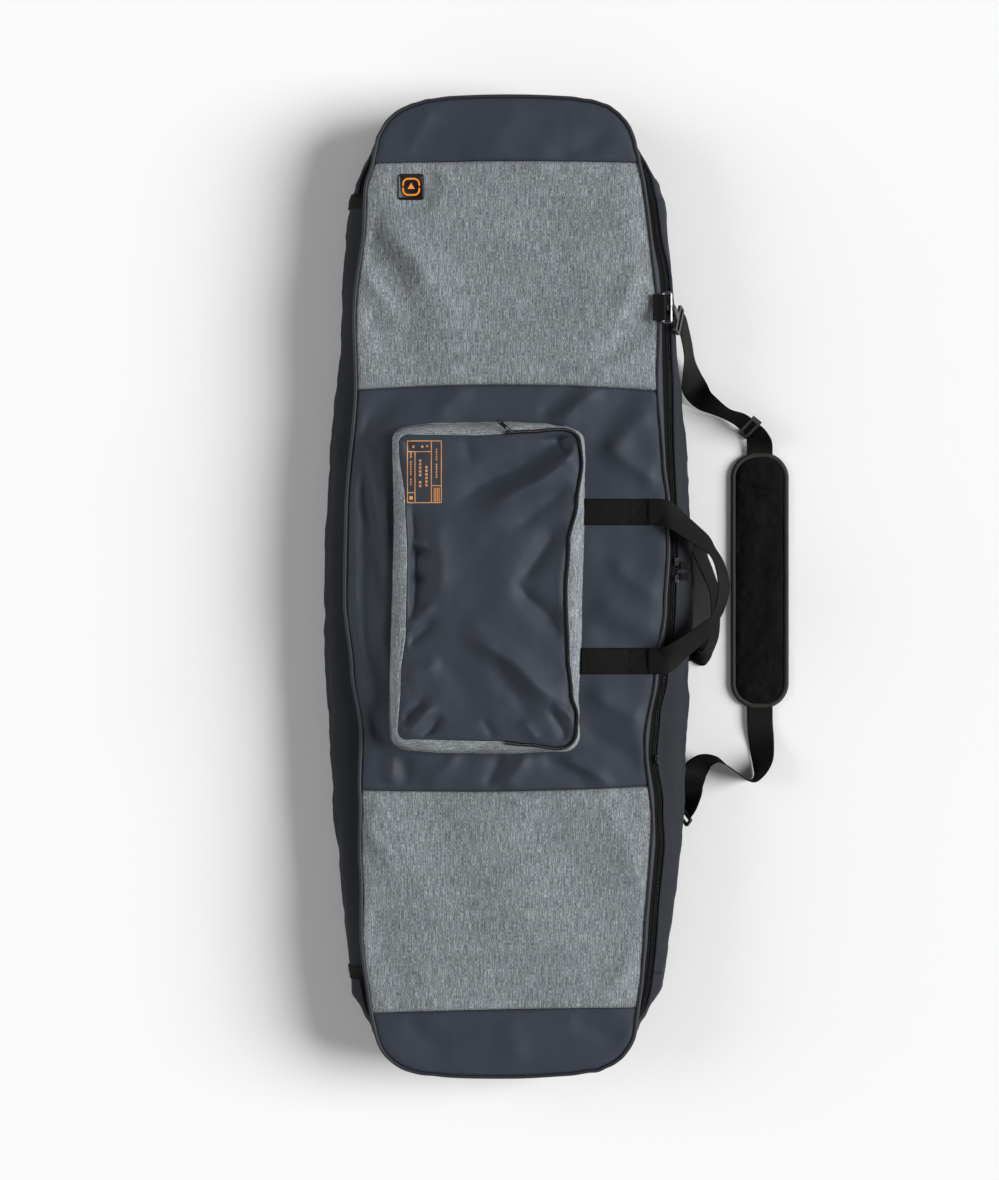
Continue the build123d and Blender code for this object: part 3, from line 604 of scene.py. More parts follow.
def woven(name, colour, roughness=0.58, sheen=0.06, weave=0.0007, tint=(1, 1, 1), specular=0.2, cloudy=0.12):
    """Tightly woven coated polyester: crossed yarns, faint cloudiness and a little sheen, with painted light and
    shade that follow the crossed yarns' relief.
    """
    paint = Paint(name)
    where = paint.cloth()
    across, along = (paint.wave(where, 1 / (weave * WAVE_BANDS), direction) for direction in "XY")
    cross = paint.math("MULTIPLY", across, along)
    cloud = paint.noise(where, 14, 4, 0.6)
    grain = paint.noise(where, 900, 1, 0.5)
    value = paint.math("MULTIPLY_ADD", cloud, cloudy * 2, 0.5 - cloudy)
    value = paint.math("ADD", value, paint.math("MULTIPLY_ADD", grain, 0.3, -0.15))
    # painted light and shade: the crossed yarns' relief also lightens the colour where they cross and darkens it
    # between them
    value = paint.math("ADD", value, paint.math("MULTIPLY_ADD", cross, 0.16, -0.04))
    tone = paint.ramp(value, [(0.15, shade(colour, 0.72)), (0.5, colour), (0.85, shade(colour, 1.32))])
    paint.bump(paint.math("ADD", cross, paint.math("MULTIPLY", grain, 0.5)), 0.35, 0.00018)
    return paint.finish(
        tone, Roughness=roughness, Sheen_Weight=sheen, Sheen_Roughness=0.45,
        Sheen_Tint=(*tint, 1), Specular_IOR_Level=specular,
    )


def heathered(name, dark, middle, light):
    """Two-tone melange polyester: short light and dark flecks that run along the bag."""
    paint = Paint(name)
    where = paint.cloth()
    streaks = paint.noise(paint.stretch(where, (840, 62, 1)), 1, 2, 0.6)
    broad = paint.noise(paint.stretch(where, (420, 24, 1)), 1, 2, 0.6)
    specks = paint.noise(paint.stretch(where, (1300, 260, 1)), 1, 1, 0.5)
    cloud = paint.noise(where, 9, 3, 0.5)
    value = paint.math("MULTIPLY_ADD", streaks, 0.66, 0.16)
    value = paint.math("ADD", value, paint.math("MULTIPLY_ADD", broad, 0.30, -0.15))
    value = paint.math("ADD", value, paint.math("MULTIPLY_ADD", specks, 0.7, -0.35))
    value = paint.math("ADD", value, paint.math("MULTIPLY_ADD", cloud, 0.12, -0.06))
    tone = paint.ramp(value, [(0.30, dark), (0.50, middle), (0.72, light)])
    weave = paint.math("MULTIPLY", paint.wave(where, 420, "X"), paint.wave(where, 420, "Y"))
    paint.bump(paint.math("ADD", weave, streaks), 0.4, 0.0002)
    return paint.finish(tone, Roughness=0.75, Sheen_Weight=0.06, Sheen_Roughness=0.5, Specular_IOR_Level=0.2)


def ribbed(name, colour, rib=0.0017, sheen=0.15, depth=0.0004):
    """Flat webbing: fine ribs along it crossed by its weft, with painted light and shade that make the ribs
    lighter and their grooves darker.
    """
    paint = Paint(name)
    where = paint.cloth()
    ribs = paint.wave(where, 1 / (rib * WAVE_BANDS), "X")
    weft = paint.wave(where, 1 / (0.0011 * WAVE_BANDS), "Y", 0.6)
    cloud = paint.noise(where, 60, 3, 0.6)
    height = paint.math("ADD", ribs, paint.math("MULTIPLY", weft, 0.6))
    # painted light and shade: the ribs' relief also sets the colour, lighter on the ribs and darker in the
    # grooves
    value = paint.math("ADD", paint.math("MULTIPLY", height, 0.35), paint.math("MULTIPLY", cloud, 0.4))
    tone = paint.ramp(value, [(0.1, shade(colour, 0.6)), (0.45, colour), (0.85, shade(colour, 1.6))])
    paint.bump(height, 0.5, depth)
    return paint.finish(tone, Roughness=0.7, Sheen_Weight=sheen, Sheen_Roughness=0.4, Specular_IOR_Level=0.16)


def plain(name, colour, roughness, metallic=0.0, grain=0.00006, specular=0.5, cloudy=0.2, scale=700):
    """Moulded or plated surface with fine grain and slightly uneven gloss."""
    paint = Paint(name)
    where = paint.add("TexCoord", {}).outputs["Object"]
    fine = paint.noise(where, scale, 3, 0.6)
    cloud = paint.noise(where, 45, 3, 0.6)
    tone = paint.ramp(cloud, [(0.25, shade(colour, 1 - cloudy)), (0.75, shade(colour, 1 + cloudy))])
    paint.bump(fine, 0.5, grain)
    rough = paint.math("MULTIPLY_ADD", cloud, 0.16, roughness - 0.08)
    return paint.finish(tone, Roughness=rough, Metallic=metallic, Specular_IOR_Level=specular)


def plush(name, colour):
    """Short black pile, crushed in places, with painted sheen and shade: lighter where the pile stands high,
    darker in its hollows.
    """
    paint = Paint(name)
    where = paint.cloth()
    pile = paint.noise(where, 900, 3, 0.7)
    crushed = paint.noise(paint.stretch(where, (38, 24, 1)), 1, 5, 0.62)
    # painted sheen and shade: the pile's relief also sets the colour, lighter where it is raised and darker in
    # its hollows
    value = paint.math("ADD", paint.math("MULTIPLY", crushed, 0.8), paint.math("MULTIPLY", pile, 0.2))
    tone = paint.ramp(value, [(0.34, shade(colour, 0.45)), (0.5, colour), (0.66, shade(colour, 2.2))])
    paint.bump(paint.math("ADD", paint.math("MULTIPLY", pile, 0.5), crushed), 0.7, 0.0009)
    return paint.finish(
        tone, Roughness=0.85, Sheen_Weight=0.06, Sheen_Roughness=0.35, Specular_IOR_Level=0.12
    )


CHARCOAL = (0.0320, 0.0385, 0.0520)
MATERIALS = {
    "charcoal_fabric": woven("charcoal_polyester", CHARCOAL, tint=(0.8, 0.88, 1.0)),
    "gusset_fabric": woven(
        "gusset_polyester", (0.0175, 0.0200, 0.0255),
        tint=(0.8, 0.86, 1.0), roughness=0.6, cloudy=0.16, sheen=0.02, specular=0.08,
    ),
    "heather_fabric": heathered(
        "heather_polyester", (0.062, 0.072, 0.080), (0.170, 0.190, 0.203), (0.40, 0.43, 0.445)
    ),
    "foam": plain("closed_cell_foam", (0.3, 0.3, 0.32), 0.9),
    "lining_fabric": woven("lining_nylon", (0.018, 0.019, 0.022), roughness=0.5, weave=0.0012, sheen=0.08),
    "piping": woven(
        "piping_cover", (0.017, 0.020, 0.026), roughness=0.55, sheen=0.0, tint=(0.8, 0.88, 1.0), specular=0.35
    ),
    "webbing": ribbed("handle_webbing", (0.0026, 0.0026, 0.0021), sheen=0.0),
    "zip_tape": ribbed("zip_tape_weave", (0.0030, 0.0030, 0.0032), rib=0.0009, depth=0.0002, sheen=0.0),
    "zip_coil": plain("nylon_coil", (0.016, 0.016, 0.017), 0.30, specular=0.6),
    "slider_metal": plain("plated_metal", (0.34, 0.34, 0.35), 0.22, metallic=1.0, grain=0.00002, cloudy=0.06),
    "pull_rubber": plain("moulded_rubber", (0.0045, 0.0045, 0.005), 0.34, specular=0.5),
    "badge_orange": plain("orange_relief", (0.83, 0.25, 0.02), 0.42, cloudy=0.06),
    "print_copper": plain("copper_ink", (0.60, 0.27, 0.10), 0.48, cloudy=0.25, scale=1500),
    "moulded_plastic": plain("acetal_plastic", (0.024, 0.024, 0.024), 0.38, specular=0.5),
    "pad_plush": plush("crushed_plush", (0.0026, 0.0026, 0.0027)),
    "binding": ribbed("binding_tape", (0.026, 0.026, 0.022), rib=0.0014, depth=0.0002),
}


def dress(piece, slot, body, *nodes, lined=False):
    """Gives a piece the material of its slot (unless it is lined) and its body, and hides the CAD nodes it stands
    for.
    """
    if not lined:
        piece.data.materials.clear()
        piece.data.materials.append(MATERIALS[slot])
    if body is not None:
        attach(piece, body)
    if nodes:
        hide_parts(*nodes)
    return piece


# ---- Front: height of its outer face -------------------------------------------------------------
FRONT_RIM = ring_points(EDGE_SWAY, FRONT_Z)
SEAMS = (-SEAM_END, -SEAM_MID, SEAM_MID, SEAM_END)
BADGE_AT = sum(box("badge")) / 2

FOLD_GAIN = 3.2
VALLEY_LIMIT = 0.0070  # the deepest that a fold may dip towards the lining

# Soft folds of the front: (start, end, half width, height), in millimetres.
FRONT_FOLDS = [
    ((-200, 520), (-120, 250), 26, -2.2), ((-165, 560), (-70, 330), 30, 1.6),
    ((-60, 520), (-30, 320), 40, -1.0), ((214, 391), (130, 330), 20, -2.4),
    ((205, 350), (110, 300), 16, 1.6), ((150, 590), (200, 480), 30, 1.6),
    ((210, 560), (190, 440), 16, -1.8), ((60, 600), (90, 420), 46, -1.2), ((130, 282), (62, 232), 13, 3.0),
    ((100, 284), (45, 250), 12, -2.2), ((180, 284), (120, 205), 18, -1.8),
    ((205, 250), (135, 190), 16, 2.0), ((-60, 284), (-110, 245), 14, 1.6),
    ((-150, 280), (-200, 235), 16, -1.6), ((-230, 210), (-172, 262), 12, -2.0),
    ((-226, 190), (-224, -60), 8, 1.4), ((-208, 220), (-205, -120), 10, -2.2),
    ((-178, 200), (-176, -150), 12, 1.4), ((-216, 236), (-176, 60), 9, 1.6),
    ((-214, 150), (-178, -20), 10, -1.8), ((-222, -60), (-196, -190), 12, 2.0),
    ((-205, -170), (-165, -262), 13, -2.6), ((-182, 530), (-112, 440), 15, 2.6),
    ((-205, 520), (-150, 430), 14, -2.4), ((-216, 465), (-150, 375), 13, 2.2),
    ((-205, 400), (-160, 330), 12, -2.0), ((198, 470), (138, 360), 16, 2.4),
    ((-216, -330), (-160, -420), 13, 2.0), ((212, 150), (150, 200), 14, 2.4),
    ((214, -100), (128, -60), 15, -1.8), ((150, 40), (214, -20), 16, 1.8),
    ((-172, -285), (-168, -238), 9, 2.6), ((-148, -285), (-150, -246), 9, -2.4),
    ((-118, -286), (-70, -244), 11, 1.8), ((-30, -286), (-8, -244), 9, -2.8),
    ((-8, -286), (30, -246), 10, 2.4), ((52, -246), (118, -284), 11, -2.8),
    ((80, -246), (150, -286), 9, 2.0), ((110, -200), (190, -262), 15, -2.0),
    ((120, -150), (200, -205), 16, 2.0), ((125, 60), (214, 30), 22, -1.2),
    ((130, -20), (214, -62), 24, 1.6), ((-190, -300), (-140, -420), 24, 1.6),
    ((-120, -296), (-60, -520), 40, -1.4), ((60, -300), (120, -470), 38, -1.6),
    ((140, -296), (190, -430), 20, 1.8), ((-205, -470), (-150, -600), 22, -1.8),
    ((190, -520), (140, -606), 20, 1.6), ((0, -330), (40, -590), 60, 1.2),
    ((-150, 640), (-60, 620), 16, -1.6), ((-110, 690), (-150, 625), 14, 1.4),
    ((60, 624), (150, 650), 16, -1.6), ((20, 690), (-30, 625), 22, 1.0),
    ((-150, -625), (-90, -680), 18, -1.4), ((100, -624), (160, -660), 16, -1.6),
    ((0, -626), (20, -690), 22, 1.2),
]


# How each seam lies on the bag, in millimetres: shift of its middle, curve and slant.
SEAM_BOWS = {
    -SEAM_END: (0.5, -3.0, 4.5),
    -SEAM_MID: (-8.5, 5.0, 3.5),
    SEAM_MID: (4.5, -9.0, -1.0),
    SEAM_END: (3.0, -3.0, 0.5),
}


def front_edge(y, side):
    """Where the front's rim lies across the bag, on its right (1) or left (-1) side."""
    return side * (half_width(y) + ease(y, SWAY_RIGHT if side > 0 else SWAY_LEFT) * MM)


def seam_bow(x, seam):
    """How far a seam across the front lies from its straight pattern line."""
    u = np.asarray(x, float) / HALF_MID
    middle, curve, slant = SEAM_BOWS[seam]
    return (middle + curve * u**2 + slant * u) * MM


def front_height(x, y):
    """The height of the front's outer face, with its sewn edges, seams, slack and folds."""
    x, y = np.asarray(x, float), np.asarray(y, float)
    inside = distance_to(FRONT_RIM, x, y)
    slack = smooth(inside, 0.004, 0.045)
    left_swell = smooth(-x, 0.05, 0.15) * smooth(SEAM_MID - np.abs(y), 0, 0.06) * smooth(inside, 0.006, 0.062)
    z = FRONT_Z + (
        0.8 - 3.0 * np.exp(-inside / 0.006) + 4.6 * smooth(inside, 0.0, 0.11) + 7.5 * left_swell
    ) * MM
    relief = (2.4 * waves(x, y, 0.16, 3) + 0.6 * waves(x, y * 0.7, 0.04, 8)) * slack * MM
    relief += fold_sum(x, y, FRONT_FOLDS, FOLD_GAIN) * smooth(inside, 0.001, 0.02)
    relief = np.where(relief < 0, VALLEY_LIMIT * np.tanh(relief / VALLEY_LIMIT), relief)
    pucker = waves(x, y, 0.022, 21, 2)
    for seam in SEAMS:
        from_seam = y - seam - seam_bow(x, seam)
        relief += 0.9 * MM * pucker * np.exp(-np.abs(from_seam) / 0.016) * smooth(np.abs(from_seam), 0, 0.008)
        z -= 1.5 * MM * np.exp(-((from_seam / 0.0022) ** 2))
        z += 0.55 * MM * np.exp(-(((from_seam - 0.006 * np.sign(seam)) / 0.005) ** 2))
    relief += 0.8 * MM * waves(x, y, 0.026, 33, 2) * np.exp(-inside / 0.02) * smooth(inside, 0.0005, 0.008)
    by_badge = smooth(np.hypot(x - BADGE_AT[0], y - BADGE_AT[1]), 0.027, 0.05)
    z_flat = np.where(inside > 0.02, FRONT_Z - 0.0002, z)
    return z * by_badge + z_flat * (1 - by_badge) + relief * by_badge


def front_strip(name, low_y, high_y):
    """One of the front's three middle panels."""
    u = np.linspace(0, 1, 112)
    curves = []
    for t in np.linspace(0, 1, max(24, int((high_y - low_y) / 0.0042))):
        row = low_y + 0.0002 + (high_y - low_y - 0.0004) * t
        left, right = front_edge(row, -1), front_edge(row, 1)
        x = left + (right - left) * u
        bow = seam_bow(x, low_y) * (1 - t) + seam_bow(x, high_y) * t
        curves.append(np.column_stack([x, row + bow]))
    flat = np.array(curves)
    z = front_height(flat[..., 0], flat[..., 1])
    return grid_object(name, np.dstack([flat, z]), uv=flat)


def front_end(name, sign):
    """One of the front's two end panels, ruled from its seam to the rounded end."""
    mine = np.flatnonzero(EDGE[:, 1] * sign > SEAM_END + 0.0004)
    if sign < 0:  # the outline starts in the middle of the bottom end
        mine = np.concatenate([mine[mine > AROUND // 2], mine[mine < AROUND // 2]])
    first_y = sign * (SEAM_END + 0.0002)
    from_x, to_x = front_edge(first_y, sign), front_edge(first_y, -sign)
    rim = np.concatenate([[(from_x, first_y)], FRONT_RIM[mine, :2], [(to_x, first_y)]])
    seam_x = np.linspace(from_x, to_x, len(rim))
    seam = np.column_stack([seam_x, first_y + seam_bow(seam_x, sign * SEAM_END)])
    t = np.linspace(0, 1, 26)[:, None, None]
    flat = seam[None] * (1 - t) + rim[None] * t
    return face_up(grid_object(name, np.dstack([flat, front_height(flat[..., 0], flat[..., 1])]), flat))


front_pieces = [
    (front_end("front_bottom_end_cloth", -1), "charcoal_fabric", "front_panel_bottom_end"),
    (front_strip("front_lower_cloth", -SEAM_END, -SEAM_MID), "heather_fabric", "front_panel_lower"),
    (front_strip("front_centre_cloth", -SEAM_MID, SEAM_MID), "charcoal_fabric", "front_panel_centre"),
    (front_strip("front_upper_cloth", SEAM_MID, SEAM_END), "heather_fabric", "front_panel_upper"),
    (front_end("front_top_end_cloth", 1), "charcoal_fabric", "front_panel_top_end"),
]
FRONT_TREES = surface_of(*[piece for piece, _, _ in front_pieces])
for piece, cloth_slot, node in front_pieces:
    thicken(piece, CLOTH)
    dress(piece, cloth_slot, "front_flap", node)


# ---- Closed sheets inside the outline -------------------------------------------------------------
BACK_INSET = BACK_SWAY - 0.0005
BACK_RIM = ring_points(BACK_INSET, 0)


def disc(name, inset, height):
    """A sheet that fills the outline, from its rim in to a line down its middle."""
    rim = EDGE + EDGE_OUT * np.broadcast_to(inset, AROUND)[:, None]
    spine = np.column_stack([rim[:, 0] * 0, np.clip(EDGE[:, 1], -0.52, 0.52)])
    t = np.linspace(0, 1, 46)[:, None, None] ** 1.25
    flat = rim[None] * (1 - t) + spine[None] * t
    z = height(flat[..., 0], flat[..., 1])
    return face_up(weld(grid_object(name, np.dstack([flat, z]), closed_columns=True, uv=flat)))


ANCHOR_STEP = 0.0030  # the back rides up this far over the rear handle's webbing


def back_height(x, y):
    """The underside of the back, which lies flat on the floor and rises to its piping."""
    inside = distance_to(BACK_RIM, x, y)
    lift = 0.0022 * np.exp(-inside / 0.006)
    dents = 0.5 * MM * (1 + waves(x, y, 0.12, 5)) * smooth(inside, 0.01, 0.06)
    anchors = 0.0
    for sign in (1, -1):
        near = smooth(np.abs(y - sign * 0.108), 0.030, 0.020) * smooth(x, 0.085, 0.100)
        anchors = anchors + ANCHOR_STEP * near
    return 0.0003 + lift + dents + anchors


def back_lining_height(x, y):
    """The lining over the back foam."""
    return LINING_Z + 0.6 * MM * waves(x, y, 0.09, 41) + 0.5 * MM * waves(x, y, 0.02, 43) - 0.0006


def front_lining_height(x, y):
    """The lining under the front foam."""
    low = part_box("front_lining")[0][2]
    return low + 0.0014 + 0.5 * MM * waves(x, y, 0.08, 45) + 0.3 * MM * waves(x, y, 0.02, 47)


back = disc("back_panel_cloth", BACK_INSET, back_height)
back.data.flip_normals()
thicken(back, CLOTH)
dress(back, "charcoal_fabric", "base", "back_panel", "back_foam")
back_lining = disc("back_lining_cloth", BACK_SWAY - 0.0055, back_lining_height)
thicken(back_lining, LINING)
dress(back_lining, "lining_fabric", "base", "back_lining")
front_lining = disc("front_lining_cloth", EDGE_SWAY * 0.9 - 0.0045, front_lining_height)
front_lining.data.flip_normals()
thicken(front_lining, LINING)
dress(front_lining, "lining_fabric", "front_flap", "front_lining", "front_foam")


# ---- Piping ---------------------------------------------------------------------------------------
front_cord = ring_points(EDGE_SWAY + 0.0016, FRONT_Z - 0.0011)
front_cord[:, 2] += 0.25 * MM * waves(EDGE_S, EDGE_S * 0, 0.05, 51)
piping = ring_tube("front_piping_cord", front_cord, 0.00255)
dress(piping, "piping", "front_flap", "front_piping")
back_cord = ring_points(BACK_SWAY + 0.0025, 0.0028)
back_piping = ring_tube("back_piping_cord", back_cord, 0.0024)
dress(back_piping, "piping", "base", "back_piping")


# ---- Side walls -----------------------------------------------------------------------------------
WALL_RISE = 0.11  # how much cloth the wall takes from its foot to its lip
# Rolls along the wall: (height in millimetres, place, width and wander as parts of its rise, wavelength, seed).
WALL_ROLLS = (
    (-3.4, 0.72, 0.05, 0.09, 0.20, 65), (2.4, 0.60, 0.06, 0.07, 0.15, 66), (-2.2, 0.40, 0.06, 0.10, 0.17, 68),
)


WALL_PLACES = np.array([0.0, 0.07, 0.26, 0.50, 0.74, 0.93, 1.0])  # the parts of its rise that shape it
BELLY_Z = 0.046  # where it bulges most


def wall_profile(index, t):
    """The smooth wall's offset from the outline, and its height, at a part t of its rise."""
    bulge, back, tuck = BULGE[index], BACK_SWAY[index], TUCKED[index]
    zip_side = ON_ZIP[index]
    lip = np.where(zip_side, ZIP_LINE[index] + 0.0046 * (1 - 0.6 * tuck), EDGE_SWAY[index] + 0.0002)
    rim = np.where(zip_side, ZIP_LINE[index] + 0.0086 * (1 - 0.6 * tuck), EDGE_SWAY[index] + 0.0018)
    lip_z = np.where(zip_side, RIM_Z + 0.0024 - 0.0036 * tuck, FRONT_Z - 0.0032)
    rim_z = np.where(zip_side, RIM_Z + 0.0008 - 0.0062 * tuck, FRONT_Z - 0.0075)
    offsets = [
        back + 0.0008, 0.10 * bulge + 0.9 * back + 0.0012, 0.72 * bulge, bulge,
        0.82 * bulge + 0.18 * rim + 0.001, rim, lip,
    ]
    heights = [0.0022, 0.0065, 0.022, BELLY_Z, 0.35 * BELLY_Z + 0.65 * rim_z, rim_z, lip_z]
    k = int(np.clip(np.searchsorted(WALL_PLACES, t) - 1, 0, len(WALL_PLACES) - 2))
    part = (t - WALL_PLACES[k]) / (WALL_PLACES[k + 1] - WALL_PLACES[k])
    before, after = max(k - 1, 0), min(k + 2, len(WALL_PLACES) - 1)
    return [cubic(v[before], v[k], v[k + 1], v[after], part) for v in (offsets, heights)]


def wall_ripples(index, t):
    """The crumples, creases and rolls of the wall's cloth, in millimetres."""
    s, waist = EDGE_S[index], np.exp(-((EDGE[index, 1] / 0.42) ** 4))
    crumple = 3.0 * waves(s, 0.05 * t, 0.13, 61, 2) + 1.7 * waves(s + 0.16 * t, 0.16 * t, 0.052, 62, 2)
    crumple = crumple * (0.6 + 0.5 * waves(s, 0, 0.23, 63, 1))
    crumple = crumple + 0.45 * waves(s - 0.22 * t, 0.2 * t, 0.021, 64, 2)
    rolls = sum(
        height * np.exp(-(((t - place - wander * waves(s, 0, size, seed)) / width) ** 2))
        for height, place, width, wander, size, seed in WALL_ROLLS
    )
    creases = 1.5 * np.abs(waves(s + 0.05 * t, 0.11 * t - 0.3 * s, 0.038, 69, 2)) - 0.6
    return crumple * (0.75 + 0.75 * waist) - 1.5 * creases + rolls * waist


def wall_point(index, t, out=0.0):
    """Points of the side walls' outer face: t runs from the foot, 0, to the lip beside the zip, 1."""
    offset, z = wall_profile(index, t)
    slack = MM * math.sin(math.pi * t) ** 0.8 * (1 - 0.75 * float(smooth(t, 0.80, 0.94)))
    long_side = 1 - ENDNESS[index]
    offset = offset + out + slack * (0.4 + 0.6 * long_side) * wall_ripples(index, t)
    z = z + slack * long_side * 0.8 * waves(EDGE_S[index], 0.3 * t, 0.06, 67)
    return at_height(EDGE[index] + EDGE_OUT[index] * offset[:, None], z)


def wall_sheet(name, index):
    """The side wall along one run of the outline."""
    levels = np.concatenate([np.linspace(0, 0.9, 26), np.linspace(0.92, 1, 7)])
    grid = [wall_point(index, t) for t in levels]
    return grid_object(name, grid, cloth_map(EDGE_S[index][None], levels[:, None] * WALL_RISE))


def run(low, high):
    """Outline places from one to another, both ends included."""
    return np.arange(low, high + 1) % AROUND


right_side = np.flatnonzero((np.abs(EDGE[:, 1]) <= SHOULDER_Y) & (EDGE[:, 0] > 0))
left_side = np.flatnonzero((np.abs(EDGE[:, 1]) <= SHOULDER_Y) & (EDGE[:, 0] < 0))
walls = [
    ("gusset_right_cloth", run(right_side[0], right_side[-1]), "gusset_right"),
    ("gusset_top_cloth", run(right_side[-1], left_side[0]), "gusset_top"),
    ("gusset_left_cloth", run(left_side[0], left_side[-1]), "gusset_left"),
    ("gusset_bottom_cloth", run(left_side[-1], right_side[0] + AROUND), "gusset_bottom"),
]
for name, index, node in walls:
    sheet = wall_sheet(name, index)
    sheet.data.materials.append(MATERIALS["gusset_fabric"])
    sheet.data.materials.append(MATERIALS["lining_fabric"])
    thicken(sheet, 0.0045 if node != "gusset_left" else 0.0036, inner=1)
    dress(sheet, "gusset_fabric", None if node == "gusset_left" else "base", node, lined=True)
    if node == "gusset_left":
        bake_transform(sheet)


# ---- Main zip -------------------------------------------------------------------------------------
zip_run = from_gap(np.flatnonzero(ON_ZIP))  # from the lower left round to the upper left


def along_zip(offset, z):
    """Points along the zip, at an offset from the line where its halves meet."""
    return ring_points(ZIP_LINE + offset, z)[zip_run]


TAPE_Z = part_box("main_zip_tape_flap")[1][2]
MAIN_LINK = {"pitch": 0.0031, "width": 0.0025, "height": 0.0023, "length": 0.0019}
LINK_RINGS = ((0.0, 0.55), (0.12, 1.0), (0.5, 0.82), (0.88, 0.95), (1.0, 0.5))


def zip_tape(name, profile):
    """Tape along the zip, through (offset, height) in millimetres; its outer half hangs at the bag's ends."""
    profile = np.array(profile) * MM
    rows = []
    for offset, height in profile:
        hang = 0.7 * max(offset, 0) * TUCKED
        rows.append(along_zip(offset * (1 - 0.6 * TUCKED * (offset > 0)), TAPE_Z + height - hang))
    return thicken(face_up(grid_object(name, rows, cloth_map(profile[:, :1], EDGE_S[zip_run][None]))), 0.0007)


def teeth(name, path, side, pitch, width, height, length):
    """Zip coil teeth: a small rounded link across the zip at every step of the path."""
    lengths = run_length(path)
    places = np.arange(pitch / 2, lengths[-1], pitch)
    points = along_path(path, lengths, places)
    along = along_path(path, lengths, places + pitch / 4) - points
    along /= np.maximum(np.linalg.norm(along, axis=1), 1e-9)[:, None]
    up = np.array([0, 0, 1.0])
    across = np.cross(along, up) * side
    link = np.array([
        (place * width, size * math.cos(a) * length / 2, size * math.sin(a) * height / 2)
        for place, size in LINK_RINGS for a in TAU * np.arange(6) / 6
    ])
    grid = points[:, None] + across[:, None] * link[:, :1] + along[:, None] * link[:, 1:2] + up * link[:, 2:]
    grid = grid.reshape(-1, 3)
    faces = [face for k in range(len(points)) for face in capped(len(LINK_RINGS), 6, k * len(link))]
    return face_out(new_object(name, grid, faces, grid[:, :2]))


def flap_band():
    """The narrow band of cloth between the front's piping and the zip's tape."""
    edge = EDGE_SWAY - ZIP_LINE
    foot = np.minimum(-0.0066, 0.3 * edge - 0.0050)
    wobble = 0.5 * MM * waves(EDGE_S, 0, 0.03, 71)
    steps = np.linspace(0, 1, 9)
    rows = []
    for step in steps:
        arch = math.sin(math.pi * step)
        z = FRONT_Z - 0.0032 - 0.0058 * step**1.3 + 0.0012 * arch
        rows.append(along_zip((edge + 0.0030) * (1 - step) + foot * step, z + wobble * arch))
    uv = cloth_map(steps[:, None] * 0.012, EDGE_S[zip_run][None])
    return thicken(face_up(grid_object("flap_band_cloth", rows, uv)), 0.0010)


dress(flap_band(), "charcoal_fabric", "front_flap", "flap_zip_band")
flap_tape = zip_tape("flap_tape", [(-13.5, 0.6), (-10, 1), (-7, 1.2), (-4, 0.6), (-2, 0.2), (-0.4, 0)])
dress(flap_tape, "zip_tape", "front_flap", "main_zip_tape_flap")
body_tape = zip_tape("body_tape", [(0.4, -0.6), (2.6, -0.6), (5, -0.7), (7, -0.9), (8.4, -1.1)])
dress(body_tape, "zip_tape", "base", "main_zip_tape_body")
flap_teeth = teeth("flap_teeth", along_zip(-0.0001, TAPE_Z + 0.0011), -1, **MAIN_LINK)
dress(flap_teeth, "zip_coil", "front_flap", "main_zip_coil_flap")
body_teeth = teeth("body_teeth", along_zip(0.0001, TAPE_Z + 0.0010), 1, **MAIN_LINK)
dress(body_teeth, "zip_coil", "base", "main_zip_coil_body")


# ---- Webbing over the zip's ends, and the pull tab at the top ---------------------------------------
def end_tab(name, node):
    """Webbing sewn down the left wall where the zip stops."""
    low, high = box(node)
    index = np.flatnonzero((EDGE[:, 0] < 0) & (EDGE[:, 1] > low[1]) & (EDGE[:, 1] < high[1]))
    fine = np.linspace(index[0], index[-1], 22)
    wide = np.arange(index[0] - 1, index[-1] + 2)
    levels = np.linspace(0.12, 0.97, 26)
    grid = [along_path(wall_point(wide, t, 0.0016 + 0.0006 * math.sin(9 * t)), wide, fine) for t in levels]
    uv = cloth_map((fine * EDGE_LENGTH / AROUND)[None], levels[:, None] * WALL_RISE)
    return dress(thicken(grid_object(name, grid, uv), 0.0014, offset=1.0), "webbing", "base", node)


def top_tab():
    """Narrow webbing folded over at the top of the zip."""
    low, high = box("top_pull_tab")
    fold_y, fold_z = HALF_LENGTH + 0.0095, (low[2] + high[2]) / 2
    stations = [
        ((0, fold_y + 0.0034 * math.cos(a), fold_z + 0.0085 * math.sin(a)), (1, 0, 0))
        for a in np.radians(np.linspace(-80, 80, 9))
    ]
    return strap_object("top_tab_webbing", stations, width=0.022, thickness=0.0012, per_span=5)


end_tab("end_tab_top_webbing", "zip_end_tab_top")
end_tab("end_tab_bottom_webbing", "zip_end_tab_bottom")
dress(top_tab(), "webbing", "base", "top_pull_tab")


# ---- Pocket ---------------------------------------------------------------------------------------
LID_Z = LID_HIGH[2]
